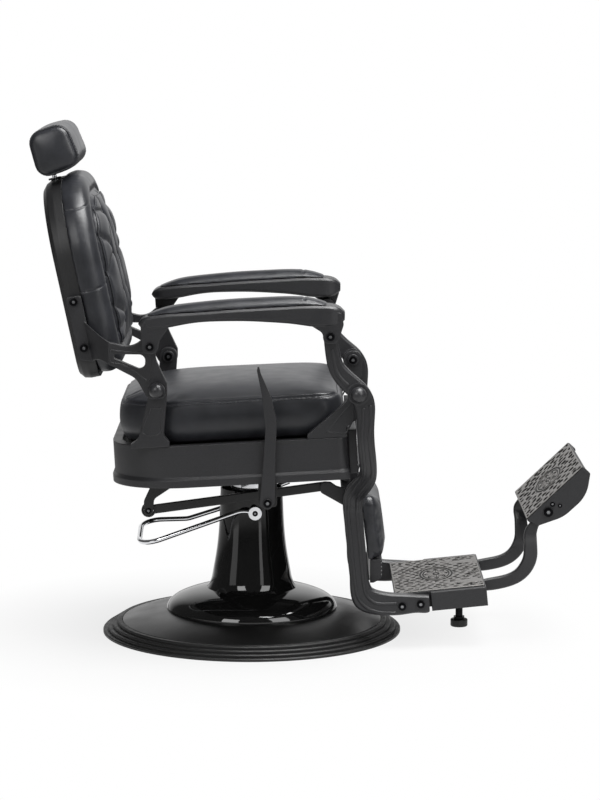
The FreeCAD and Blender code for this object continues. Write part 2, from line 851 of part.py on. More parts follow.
def crank_and_ties():
    shaft_end = rail_offset + rail_width - 2.0
    crank_inner = link_plane + link_thickness + layer_gap
    crank_outer = crank_inner + crank_thickness
    pieces = [cross_bar(crank_pivot_x, crank_pivot_z, crank_shaft_radius, -shaft_end, shaft_end)]
    hub = crank_shaft_radius + 4.0
    end = tie_bar_height / 2
    corners = [
        (crank_pivot_x + hub, crank_pivot_z + hub, hub - 1.0),
        (crank_pivot_x - hub, crank_pivot_z + hub, hub - 1.0),
        (crank_end_x + 4.0, crank_end_z + 0.4 * crank_drop, 30.0),
        (crank_end_x - end, crank_end_z + 22.0, 12.0),
        (crank_end_x - end, crank_end_z - end, end - 1.0),
        (crank_end_x + end, crank_end_z - end, end - 1.0),
        (crank_end_x + end + 3.0, crank_end_z + 26.0, 14.0),
        (crank_pivot_x + hub, crank_pivot_z - 0.45 * crank_drop, 30.0),
    ]
    for side in (-1, 1):
        pieces.append(side_plate(corners, side * crank_inner, side * crank_outer))
        pieces.append(cross_bar(crank_end_x, crank_end_z, link_pin_radius,
                                side * (link_plane - 2.0), side * crank_outer))
    shaft = joined(pieces)

    # The rear eye is wide enough for the path of the crank pin, which a fixed ratio only approaches.
    tie_angle = math.atan2(lug_z - crank_end_z, lug_x - crank_end_x)
    tie_length = math.hypot(lug_x - crank_end_x, lug_z - crank_end_z)
    half = tie_bar_height / 2
    inside = -link_plane
    outside = -link_plane - link_thickness
    strip = side_plate([
        (0, -half, 0), (tie_length + half, -half, half - 1.0),
        (tie_length + half, half, half - 1.0), (0, half, 0),
    ], inside, outside)
    strip = strip.fuse(cross_bar(0, 0, tie_eye_radius, inside, outside)).removeSplitter()
    strip = drilled(strip, 0, 0, link_pin_radius + tie_open_clearance, inside + 1.0, outside - 1.0)
    strip = drilled(strip, tie_length, 0, link_pin_radius + running_clearance, inside + 1.0, outside - 1.0)
    tie = strip.rotated(Vector(0, 0, 0), Vector(0, 1, 0), -math.degrees(tie_angle))
    tie = tie.translated(Vector(crank_end_x, 0, crank_end_z))
    return shaft, tie


def back_bracket():
    strip_inner = shell_half_width + seat_clearance
    strip_outer = strip_inner + bracket_strip_thickness
    half_shell = shell_thickness / 2
    strip_corners = [back_point(-11.0, 49.0), back_point(half_shell, 38.0),
                     back_point(half_shell, 182.0), back_point(-11.0, 184.0)]
    strip = side_plate([(x, z, 6.0) for x, z in strip_corners], -strip_inner, -strip_outer)

    ax, az = arm_rear_x, arm_rear_z
    px, pz = rear_pivot_x, rear_pivot_z
    eye = pivot_eye_radius
    arm_eye = arm_eye_radius
    web_left = px - 102.0
    web_low = pz + 54.0
    web_high = az + 6.0
    web = side_plate([
        (web_left, web_high, 0),
        (ax - 38.0, az - 6.0, 40.0),
        (ax - arm_eye, az + arm_eye, arm_eye - 2.0),
        (ax + arm_eye, az + arm_eye, arm_eye - 2.0),
        (px - 6.0, pz + 70.0, 50.0),
        (px + eye, pz + 14.0, 12.0),
        (px + eye, pz - eye, eye - 2.0),
        (px - eye, pz - eye, eye - 2.0),
        (px - 44.0, pz + 24.0, 40.0),
        (web_left, web_low, 0),
    ], -layer_inner, -bracket_outer)
    window = side_plate([
        (px - 91.0, pz + 66.6, 3.4), (px - 26.5, pz + 38.8, 12.0),
        (px - 24.0, pz + 74.5, 13.0), (px - 91.0, pz + 75.3, 3.4),
    ], -layer_inner + 1.0, -bracket_outer - 1.0)

    low_x, low_z = back_point(half_shell - 6.0, 42.0)
    high_x, high_z = back_point(half_shell - 6.0, 128.0)

    def upright(x_low, z_low, x_high, z_high, inner, outer):
        ring = [Vector(x_low, -inner, z_low), Vector(x_high, -inner, z_high),
                Vector(x_high, -outer, z_high), Vector(x_low, -outer, z_low)]
        return Part.makePolygon(ring + ring[:1])

    middle_low_z = (low_z + web_low) / 2 + 6.0
    middle_high_z = (high_z + web_high) / 2 - 9.0
    inner_mid = (strip_inner + layer_inner) / 2 + 10.0
    outer_mid = (strip_outer + bracket_outer) / 2 + 6.0
    middle_x = (low_x + web_left) / 2
    sections = smoothed([
        (low_x, low_z, high_x, high_z, strip_inner + 4.0, strip_outer),
        (middle_x, middle_low_z, middle_x, middle_high_z, inner_mid, outer_mid),
        (web_left, web_low, web_left, web_high, layer_inner, bracket_outer),
    ], 4)
    bridge = Part.makeLoft([upright(*section) for section in sections], True, True)
    bracket = joined([strip, bridge, web.cut(window)])
    through_start = -layer_inner + 1.0
    through_end = -bracket_outer - 1.0
    bracket = drilled(bracket, px, pz, pivot_radius + running_clearance, through_start, through_end)
    bracket = drilled(bracket, ax, az, arm_pin_radius + seat_clearance, through_start, through_end)
    for bolt_up in shell_bolt_rises:
        x, z = back_point(shell_bolt_forward, bolt_up)
        hole = bolt_radius + seat_clearance
        bracket = drilled(bracket, x, z, hole, -strip_inner + 1.0, -strip_outer - 1.0)
    return bracket


def back_outline(inset, forward, lift=0.0):
    half = shell_half_width - inset
    low = inset + lift
    high = shell_height - inset
    top_radius = max(shell_top_radius - inset, 20.0)
    bottom_radius = max(shell_bottom_radius - inset, 12.0)
    corners = [(-half, low, bottom_radius), (half, low, bottom_radius),
               (half, high, top_radius), (-half, high, top_radius)]
    return rounded_wire(corners, lambda y, z: Vector(forward, y, z))


def back_shell():
    half_shell = shell_thickness / 2
    rings = [
        back_outline(14.0, -half_shell),
        back_outline(3.0, -half_shell + 9.0),
        back_outline(0.0, -half_shell + 22.0),
        back_outline(0.0, half_shell),
    ]
    shell = Part.makeLoft(rings, True, True)
    socket_radius = headrest_rod_radius + headrest_socket_wall + seat_clearance
    shell = shell.cut(upright_bar(headrest_rod_offset, 0, socket_radius,
                                  shell_height - headrest_rod_depth, shell_height + 5.0))
    for side in (-1, 1):
        for bolt_up in shell_bolt_rises:
            shell = drilled(shell, shell_bolt_forward, bolt_up, bolt_radius + seat_clearance,
                            side * (shell_half_width - 25.0), side * (shell_half_width + 5.0))
    return on_back(shell)


def tuft_spots():
    middle = 0.52 * shell_height
    spots = []
    for row in range(tuft_rows):
        count = 3 if row % 2 == 0 else 2
        up = middle + (row - (tuft_rows - 1) / 2) * tuft_pitch_z
        for index in range(count):
            spots.append(((index - (count - 1) / 2) * tuft_pitch_y, up))
    return spots


def back_cushion():
    # Border roll round a crowned centre, with a dimple at each tuft and pleats between neighbours.
    # Its foot is lifted off the shell's lower edge, to clear the seat when the back lies down.
    start = shell_thickness / 2 + seat_clearance
    border_front = shell_thickness / 2 + border_depth
    crest = border_front + tuft_depth

    def ring(inset, forward):
        return back_outline(inset, forward, back_pad_lift)

    border = padded_loft(ring, [
        (8.0, start),
        (-7.0, start + 0.35 * border_depth),
        (-3.0, start + 0.72 * border_depth),
        (16.0, start + 0.94 * border_depth),
        (34.0, border_front),
    ])
    pillow = padded_loft(ring, [
        (50.0, start + 20.0),
        (52.0, border_front + 0.2 * tuft_depth),
        (70.0, border_front + 0.75 * tuft_depth),
        (120.0, crest),
    ])
    seam_low = border_front - 7.0
    seam_high = border_front + 1.0
    seam = Part.makeLoft([ring(34.0, seam_low), ring(32.0, seam_high)], True, True)
    island = Part.makeLoft([ring(50.0, seam_low), ring(52.0, seam_high)], True, True)
    cushion = border.cut(seam.cut(island)).fuse(pillow)
    spots = tuft_spots()
    dimples = []
    for y, up in spots:
        dimples.append(Part.makeCone(5.0, 24.0, 24.0, Vector(crest - 20.0, y, up), Vector(1, 0, 0)))
    reach = 1.05 * math.hypot(tuft_pitch_y / 2, tuft_pitch_z)
    for index, (y, up) in enumerate(spots):
        for other_y, other_up in spots[index + 1:]:
            span = math.hypot(other_y - y, other_up - up)
            if span < reach and abs(other_up - up) > 1.0:
                dimples.append(pleat(y, up, other_y, other_up, crest))
    for dimple in dimples:
        cushion = cushion.cut(dimple)
    return on_back(cushion.removeSplitter())


def pleat(y, up, other_y, other_up, crest):
    along = Vector(0, other_y - y, other_up - up)
    across = Vector(0, -along.z, along.y).normalize()
    start = Vector(0, y, up)
    root = Vector(crest - 8.0, 0, 0)
    lip = Vector(crest + 4.0, 0, 0)
    ring = [start + root, start + lip + across * 9.0, start + lip - across * 9.0]
    return Part.Face(Part.makePolygon(ring + ring[:1])).extrude(along)


def tuft_buttons():
    crest = shell_thickness / 2 + border_depth + tuft_depth
    buttons = []
    for y, up in tuft_spots():
        stem = Part.makeCylinder(4.5, 5.0, Vector(crest - 20.0 + seat_clearance, y, up), Vector(1, 0, 0))
        ball = Part.makeSphere(button_radius, Vector(crest - 17.0, y, up))
        cap = ball.common(block(crest - 16.0, crest, y - button_radius, y + button_radius,
                                up - button_radius, up + button_radius))
        buttons.append(on_back(stem.fuse(cap).removeSplitter()))
    return grouped(buttons)


def bolt(x, z, inner, outer):
    shank = cross_bar(x, z, bolt_radius, -inner, -outer)
    head = cross_bar(x, z, bolt_head_radius, -outer, -outer - bolt_head_height)
    return shank.fuse(head).removeSplitter()


def arm_pin(x, z):
    head_start = arm_lug_outer + seat_clearance
    pin = cross_bar(x, z, arm_pin_radius, -layer_inner, -head_start)
    head = cross_bar(x, z, bolt_head_radius, -head_start, -head_start - bolt_head_height)
    return pin.fuse(head).removeSplitter()


def back_fasteners():
    pieces = []
    for bolt_up in shell_bolt_rises:
        x, z = back_point(shell_bolt_forward, bolt_up)
        strip_outer = shell_half_width + seat_clearance + bracket_strip_thickness
        pieces.append(bolt(x, z, shell_half_width - 22.0, strip_outer))
    spacer = cross_bar(arm_rear_x, arm_rear_z, 1.8 * arm_pin_radius,
                       -bracket_outer, -arm_lug_inner + seat_clearance)
    pieces.append(joined([arm_pin(arm_rear_x, arm_rear_z), spacer]))
    return grouped(pieces + [mirrored(piece) for piece in pieces])


def headrest_parts():
    x = headrest_rod_offset
    rise = headrest_rise
    radius = headrest_rod_radius
    gap = seat_clearance
    rod_top = rise + 78.0
    socket_low = shell_height - headrest_rod_depth
    socket_high = shell_height + 4.0
    rod = upright_bar(x, 0, radius, socket_low + 10.0, rod_top)
    lug = block(x - radius, x + radius, -radius, radius, rise + 40.0, rod_top)
    rod = rod.fuse(lug).removeSplitter()
    socket = upright_bar(x, 0, radius + headrest_socket_wall, socket_low, socket_high)
    flange = upright_bar(x, 0, radius + headrest_socket_wall + 5.0, shell_height + gap, socket_high)
    socket = socket.fuse(flange).removeSplitter()
    socket = socket.cut(upright_bar(x, 0, radius + running_clearance, socket_low + 6.0, socket_high + 1.0))

    board_back = x + radius
    board_front = board_back + headrest_board_thickness
    board_half = 0.7 * headrest_half_width
    board_low = rise + headrest_board_rise
    board = block(board_back, board_front, -board_half, board_half, board_low, rod_top)

    corners = [
        (x - 22.0, rise - 5.0, 26.0), (x + 75.0, rise + 11.0, 26.0),
        (x + 57.0, rise + 105.0, 28.0), (x - 28.0, rise + 95.0, 28.0),
    ]
    centre_x = sum(corner[0] for corner in corners) / len(corners)
    centre_z = sum(corner[1] for corner in corners) / len(corners)

    def ring(shrink, y):
        shrunk = [(centre_x + (a - centre_x) * shrink, centre_z + (b - centre_z) * shrink, r * shrink)
                  for a, b, r in corners]
        return rounded_wire(shrunk, lambda a, b: Vector(a, y, b))

    half = headrest_half_width
    pad = Part.makeLoft([
        ring(0.82, -half), ring(0.94, -half + 5.0), ring(0.99, -half + 14.0), ring(1.0, 0.0),
        ring(0.99, half - 14.0), ring(0.94, half - 5.0), ring(0.82, half),
    ], True, True)
    reach = radius + gap
    hollow = block(x - reach, x + reach, -reach, reach, rise - 30.0, rod_top + gap)
    pocket = block(board_back - gap, board_front + gap, -board_half - gap, board_half + gap,
                   board_low - gap, rod_top + gap)
    pad = pad.cut(hollow).cut(pocket)
    return on_back(pad), on_back(rod), on_back(board), on_back(socket)


def arm_stations():
    # X, height above the rear arm pivot, depth of the casting.
    ax = arm_rear_x
    az = arm_rear_z
    span = arm_front_x - arm_rear_x
    lift = arm_front_z - arm_rear_z
    shares = [
        (-0.055, 43.0, 12.0, 44.0), (-0.02, 49.0, 25.0, 66.0), (0.095, 52.0, 28.0, arm_width),
        (0.27, 56.0, 21.0, arm_width), (0.55, 55.0, 26.0, arm_width), (0.78, 50.0, 36.0, arm_width),
        (0.91, 45.0, 44.0, arm_width), (0.985, 43.0, 44.0, arm_width), (1.045, 41.0, 36.0, 64.0),
        (1.08, 40.0, 16.0, 42.0),
    ]
    stations = []
    for share, rise, depth, breadth in shares:
        stations.append((ax + share * span, az + share * lift + rise, depth, breadth))
    return stations


def arm_casting():
    stations = [(x, -arm_centre, z, depth, breadth) for x, z, depth, breadth in arm_stations()]
    beam = casting(stations, 5.0)
    ax, az, fx, fz = arm_rear_x, arm_rear_z, arm_front_x, arm_front_z
    eye = arm_eye_radius
    rear_lug = side_plate([
        (ax - eye, az - eye, eye - 2.0), (ax + eye, az - eye, eye - 2.0),
        (ax + eye + 5.0, az + 12.0, 12.0), (ax + 42.0, az + 44.0, 0),
        (ax + 42.0, az + 56.0, 0), (ax - 12.0, az + 52.0, 0), (ax - 19.0, az + 42.0, 4.0),
    ], -arm_lug_inner, -arm_lug_outer)
    front_lug = side_plate([
        (fx - eye, fz - eye, eye - 2.0), (fx + eye, fz - eye, eye - 2.0),
        (fx + eye + 13.0, fz + 26.0, 14.0), (fx + 22.0, fz + 50.0, 0),
        (fx - 42.0, fz + 50.0, 0), (fx - 42.0, fz + 24.0, 0), (fx - 16.0, fz + 8.0, 14.0),
    ], -arm_lug_inner, -arm_lug_outer)
    arm = joined([beam, rear_lug, front_lug])
    through_start = -arm_lug_inner + 1.0
    through_end = -arm_lug_outer - 1.0
    arm = drilled(arm, ax, az, arm_pin_radius + running_clearance, through_start, through_end)
    return drilled(arm, fx, fz, arm_pin_radius + open_pivot_clearance, through_start, through_end)


def arm_pad(arm):
    # Low domed pad on the top of the casting, thin at both ends; a ring is a station and its crown.
    def ring(x, z, depth, half, crown):
        top = z + depth / 2
        section = [
            (-half, z), (-half, top + 0.3 * crown), (-0.6 * half, top + 0.85 * crown), (0, top + crown),
            (0.6 * half, top + 0.85 * crown), (half, top + 0.3 * crown), (half, z),
        ]
        points = [Vector(x, y - arm_centre, height) for y, height in section]
        return Part.makePolygon(points + points[:1])

    crowned = []
    stations = arm_stations()
    for index, crown in ((1, 5.0), (2, 15.0), (3, 20.0), (4, 21.0), (5, 20.0), (6, 14.0), (7, 5.0)):
        x, z, depth, breadth = stations[index]
        half = arm_pad_width / 2 * (0.72 if crown < 10.0 else 1.0)
        crowned.append((x, z, depth, half, crown))
    return padded_loft(ring, crowned).cut(arm)


def leg_stations():
    # X from the front pivot, share of the height from the rail up to the pivot, distance from the
    # middle plane as a share from rail to upper leg, depth in the side view.
    upper_plane = layer_inner + leg_thickness / 2
    drop = front_pivot_z - rail_height
    lower = [
        (12.0, 0.963, 1.0, 43.0), (15.5, 0.905, 1.0, 39.0), (15.5, 0.832, 1.0, 36.0),
        (17.5, 0.758, 0.97, 36.0), (22.0, 0.66, 0.78, 36.0), (20.0, 0.604, 0.59, 38.0),
        (7.0, 0.556, 0.38, 42.0), (-6.0, 0.512, 0.19, 43.0), (-9.5, 0.46, 0.06, 42.0),
        (-8.0, 0.41, 0.0, 41.0), (-1.0, 0.262, 0.0, 40.0), (5.0, 0.115, 0.0, 40.0),
    ]
    # The arm above the pivot: X and Z from the pivot, depth.
    upper = [
        (-arm_front_setback, arm_front_rise, 29.0), (-arm_front_setback + 5.0, arm_front_rise - 38.0, 31.0),
        (-48.0, 60.0, 33.0), (-37.0, 41.0, 37.0), (-19.0, 22.0, 40.0), (0.0, 4.0, 42.0),
    ]
    stations = []
    for dx, dz, depth in upper:
        stations.append((front_pivot_x + dx, -upper_plane, front_pivot_z + dz, depth, leg_thickness))
    for dx, share, out, depth in lower:
        y = -(rail_plane + out * (upper_plane - rail_plane))
        stations.append((front_pivot_x + dx, y, rail_height + share * drop, depth, leg_thickness))
    rail = [(17.0, 14.0, 53.0), (56.0, 1.0, 49.0), (100.0, 0.0, 44.0), (157.0, 2.0, 34.0)]
    for dx, dz, depth in rail:
        stations.append((front_pivot_x + dx, -rail_plane, rail_height + dz, depth, leg_thickness))
    return stations


def leg():
    body = casting(leg_stations(), 4.0)
    upper_plane = layer_inner + leg_thickness / 2
    half = leg_thickness / 2 + boss_proud
    inside = -upper_plane + half
    outside = -upper_plane - half
    eye = cross_bar(arm_front_x, arm_front_z, arm_eye_radius, inside, outside)
    boss = cross_bar(front_pivot_x, front_pivot_z, leg_boss_radius, inside, outside)
    lug_inner = link_plane + link_thickness + layer_gap
    lug_outer = rail_plane - leg_thickness / 2 + 4.0
    lug_end = 11.0
    root_x = front_pivot_x - 10.0
    lug = side_plate([
        (lug_x - lug_end, lug_z - lug_end, lug_end - 1.0), (root_x, lug_z - 50.0, 6.0),
        (root_x, lug_z - 8.0, 6.0), (lug_x + 24.0, lug_z + 2.0, 14.0),
        (lug_x + lug_end, lug_z + lug_end, lug_end - 1.0),
        (lug_x - lug_end, lug_z + lug_end, lug_end - 1.0),
    ], -lug_inner, -lug_outer)
    pin = cross_bar(lug_x, lug_z, link_pin_radius, -link_plane + 2.0, -lug_outer)
    body = joined([body, eye, boss, lug, pin])
    pivot_hole = pivot_radius + running_clearance
    body = drilled(body, front_pivot_x, front_pivot_z, pivot_hole, inside + 1.0, outside - 1.0)
    pin_hole = arm_pin_radius + seat_clearance
    body = drilled(body, arm_front_x, arm_front_z, pin_hole, inside + 1.0, outside - 1.0)
    for x, z in rail_bolt_spots():
        body = drilled(body, x, z, bolt_radius + seat_clearance,
                       -rail_plane + leg_thickness, -rail_plane - leg_thickness)
    return body


def rail_bolt_spots():
    return [(front_pivot_x + 98.0, rail_height - 3.0), (front_pivot_x + 138.0, rail_height + 2.0)]


def rail_inner():
    return rail_plane - leg_thickness / 2 - seat_clearance


def on_footplate(shape):
    pivot = Vector(footplate_rear, 0, footplate_rear_height)
    return shape.translated(pivot).rotated(pivot, Vector(0, 1, 0), -footplate_tilt)


def footplate():
    # Cast tread between the rails, wider in front of them, with skirts that bolt to the rails.
    length = footplate_front - footplate_rear
    shoulder = front_pivot_x + 160.0 - footplate_rear
    inner = rail_inner()
    outer = footplate_half_width
    wall = footplate_wall
    skirt_low = -footplate_skirt + 6.0
    tread = level_plate([
        (0, -inner, 3.0), (shoulder, -inner, 0), (shoulder, -outer, 4.0), (length, -outer, 8.0),
        (length, outer, 8.0), (shoulder, outer, 4.0), (shoulder, inner, 0), (0, inner, 3.0),
    ], -footplate_thickness, 0)
    pieces = [tread]
    for side in (-1, 1):
        pieces.append(block(shoulder, length, side * outer, side * (outer - wall), -footplate_skirt, -1.0))
        pieces.append(block(2.0, shoulder + 20.0, side * inner, side * (inner - wall), skirt_low, -1.0))
        pieces.append(block(shoulder, shoulder + wall, side * (inner - wall), side * outer,
                            skirt_low, -1.0))
    pieces.append(block(length - wall, length, -outer + 6.0, outer - 6.0, -0.6 * footplate_skirt, -1.0))
    boss_x = (foot_x - footplate_rear) / math.cos(math.radians(footplate_tilt))
    pieces.append(upright_bar(boss_x, 0, foot_screw_radius + 14.0, -footplate_thickness - 17.0, -1.0))
    plate = on_footplate(joined(pieces))
    screw_hole = foot_screw_radius + running_clearance
    plate = plate.cut(upright_bar(foot_x, 0, screw_hole, 0, foot_screw_top() + 0.5))
    for x, z in rail_bolt_spots():
        plate = drilled(plate, x, z, bolt_radius + seat_clearance, -outer, outer)
    for side in (-1, 1):
        plate = plate.cut(casting(strap_stations(side, strap_pocket_clearance), 3.0))
    return plate


def foot_screw_top():
    climb = (foot_x - footplate_rear) * math.tan(math.radians(footplate_tilt))
    return footplate_rear_height + climb - footplate_thickness


def strap_stations(side, grow):
    # Bent arm from the footplate up to the pivot of the upper footrest: X, Y, Z and depth.
    fx, fz = footrest_pivot_x, footrest_pivot_z
    top = footrest_half_width - cheek_thickness - layer_gap - strap_thickness / 2
    low = arm_entry
    foot = rail_height
    spots = [
        (fx - 172.0, low, foot + 23.0, 15.0), (fx - 126.0, low, foot + 27.0, 26.0),
        (fx - 82.0, low, foot + 36.0, 27.0), (fx - 56.0, low + 3.0, foot + 50.0, 28.0),
        (fx - 40.0, low + 8.0, foot + 72.0, 30.0), (fx - 34.0, low + 18.0, foot + 98.0, 30.0),
        (fx - 35.0, top - 16.0, foot + 124.0, 28.0), (fx - 37.0, top, foot + 146.0, 27.0),
        (fx - 34.5, top, fz - 42.0, 25.0), (fx - 27.0, top, fz - 28.0, 19.0),
        (fx - 14.0, top, fz - 13.5, strap_eye_radius * 2), (fx, top, fz, strap_eye_radius * 2),
    ]
    return [(x, side * y, z, depth + grow, strap_thickness + grow) for x, y, z, depth in spots]


def strap(side):
    fx, fz = footrest_pivot_x, footrest_pivot_z
    inner = footrest_half_width - cheek_thickness - layer_gap - strap_thickness
    outer = inner + strap_thickness
    eye = cross_bar(fx, fz, strap_eye_radius, side * (inner - boss_proud), side * (outer + boss_proud))
    arm = joined([casting(strap_stations(side, 0.0), 3.0), eye])
    hole = footrest_bolt_radius + seat_clearance
    return drilled(arm, fx, fz, hole, side * (inner - 1.0), side * (outer + 1.0))


def on_footrest(along, rise):
    # Point in the side view from the lower end of the tread: along its face and square to it, upwards.
    angle = math.radians(footrest_slope)
    start_x = footrest_pivot_x - 46.0
    start_z = footrest_pivot_z - 17.0
    x = start_x + along * math.cos(angle) - rise * math.sin(angle)
    z = start_z + along * math.sin(angle) + rise * math.cos(angle)
    return x, z


def footrest_tread():
    # Tread plate with D-shaped cheeks that turn on the strap arms.
    face = [on_footrest(0, 0), on_footrest(footrest_length, 0),
            on_footrest(footrest_length, -tread_thickness), on_footrest(0, -tread_thickness)]
    half = footrest_half_width
    tread = side_plate([(x, z, 2.5) for x, z in face], -half, half)
    belly = [(0, 0, 2.0), (footrest_length, 0, 3.0), (footrest_length + 1.0, -20.0, 5.0),
             (0.77 * footrest_length, -51.0, 75.0), (0.37 * footrest_length, -50.0, 75.0), (8.0, -26.0, 10.0)]
    cheek = [(*on_footrest(along, rise), radius) for along, rise, radius in belly]
    pieces = [tread]
    for side in (-1, 1):
        pieces.append(side_plate(cheek, side * (half - cheek_thickness), side * half))
    whole = joined(pieces)
    hole = footrest_bolt_radius + running_clearance
    return drilled(whole, footrest_pivot_x, footrest_pivot_z, hole, -half - 1.0, half + 1.0)


def footrest_roll():
    # Padded roll behind the tread, between the strap arms.
    half = footrest_half_width - cheek_thickness - 2 * layer_gap - strap_thickness - 3.0
    face = -tread_thickness - seat_clearance
    shape = [(14.0, face, 4.0), (footrest_length - 8.0, face, 8.0), (footrest_length - 26.0, -42.0, 26.0),
             (72.0, -45.0, 40.0), (20.0, -24.0, 8.0)]
    centre = sum(corner[0] for corner in shape) / len(shape)

    def ring(shrink, y):
        corners = []
        for along, rise, radius in shape:
            x, z = on_footrest(centre + (along - centre) * shrink, face + (rise - face) * shrink)
            corners.append((x, z, radius * shrink))
        return rounded_wire(corners, lambda x, z: Vector(x, y, z))

    return Part.makeLoft([
        ring(0.9, -half), ring(0.98, -half + 12.0), ring(1.0, -half + 40.0),
        ring(1.0, half - 40.0), ring(0.98, half - 12.0), ring(0.9, half),
    ], True, True)


def leg_fasteners():
    pieces = [arm_pin(arm_front_x, arm_front_z)]
    for x, z in rail_bolt_spots():
        pieces.append(bolt(x, z, rail_inner() - 7.0, rail_plane + leg_thickness / 2))
    fx, fz = footrest_pivot_x, footrest_pivot_z
    cap_start = footrest_half_width + seat_clearance
    cheek_inner = footrest_half_width - cheek_thickness
    strap_outer = cheek_inner - layer_gap
    shank = cross_bar(fx, fz, footrest_bolt_radius, -strap_outer + strap_thickness, -cap_start)
    spacer = cross_bar(fx, fz, strap_eye_radius, -strap_outer - boss_proud, -cheek_inner + seat_clearance)
    cap = cross_bar(fx, fz, footrest_bolt_radius + 4.0, -cap_start, -cap_start - bolt_head_height)
    pieces.append(joined([shank, spacer, cap]))
    return grouped(pieces + [mirrored(piece) for piece in pieces])


def calf_x(z):
    share = (z - calf_bottom) / (calf_top - calf_bottom)
    return calf_back_bottom + share * (calf_back_top - calf_back_bottom)


def calf_parts():
    half = rail_inner() - 2.0
    thick = calf_board_thickness

    def layer(start, end):
        # Side view of a layer along the sloping board, between two distances from its back.
        low = calf_x(calf_bottom)
        high = calf_x(calf_top)
        return side_plate([(low + start, calf_bottom, 0), (low + end, calf_bottom, 0),
                           (high + end, calf_top, 0), (high + start, calf_top, 0)], -half, half)

    face = thick + seat_clearance
    middle = (calf_top + calf_bottom) / 2

    def ring(shrink, depth):
        radius = 24.0 * shrink
        height = (calf_top - calf_bottom) / 2 * shrink
        width = half * (0.5 + 0.5 * shrink)
        corners = [(-width, middle - height, radius), (width, middle - height, radius),
                   (width, middle + height, radius), (-width, middle + height, radius)]
        return rounded_wire(corners, lambda y, z: Vector(calf_x(z) + face + depth, y, z))

    pad = padded_loft(ring, [
        (0.95, 0.0), (1.0, 0.35 * calf_pad_depth), (0.93, 0.75 * calf_pad_depth), (0.7, calf_pad_depth),
    ])

    tube_z = calf_top - cross_tube_drop
    tube_x = calf_x(tube_z) - cross_tube_radius - 1.0
    tube_end = rail_plane - leg_thickness / 2 - seat_clearance
    tube = cross_bar(tube_x, tube_z, cross_tube_radius, -tube_end, tube_end)
    tab = block(tube_x, calf_x(tube_z) + thick, -0.5 * half, 0.5 * half, tube_z - 6.0, tube_z + 6.0)
    tube = tube.fuse(tab).removeSplitter().cut(layer(-seat_clearance, 2 * thick))
    return layer(0, thick).cut(pedal_sweep()), pad, tube


def kick_panel():
    # Ribbed lip under the calf pad, rounded off towards the legs.
    half = rail_inner() - 10.0
    top = calf_bottom - seat_clearance
    back = calf_x(calf_bottom)
    front = back + kick_depth
    pitch = (top - kick_bottom) / (kick_ribs + 1)
    outline = [(back, top, 0)]
    for index in range(kick_ribs):
        z = top - index * pitch
        outline.append((front, z, 0))
        outline.append((front, z - 0.6 * pitch, 0))
        outline.append((front - kick_rib_depth, z - 0.7 * pitch, 0))
        outline.append((front - kick_rib_depth, z - 0.95 * pitch, 0))
    outline.append((back + 0.3 * kick_depth, kick_bottom, 0))
    outline.append((back, kick_bottom, 0))
    return side_plate(outline, -half, half)


def anti_tip_foot():
    pad_top = foot_clearance + foot_pad_height
    pad = upright_bar(foot_x, 0, foot_pad_radius, foot_clearance, pad_top)
    pad = pad.makeFillet(3.0, pad.Edges)
    screw = upright_bar(foot_x, 0, foot_screw_radius, pad_top, foot_screw_top() - foot_screw_room)
    nut = upright_bar(foot_x, 0, foot_screw_radius + 4.0, pad_top, pad_top + 6.0)
    return screw.fuse(nut).removeSplitter(), pad


def save(name, shape):
    shape.exportStep("parts/" + name + ".step")
    print(name, len(shape.Solids), round(sum(s.Volume for s in shape.Solids) / 1000.0, 1), shape.isValid())


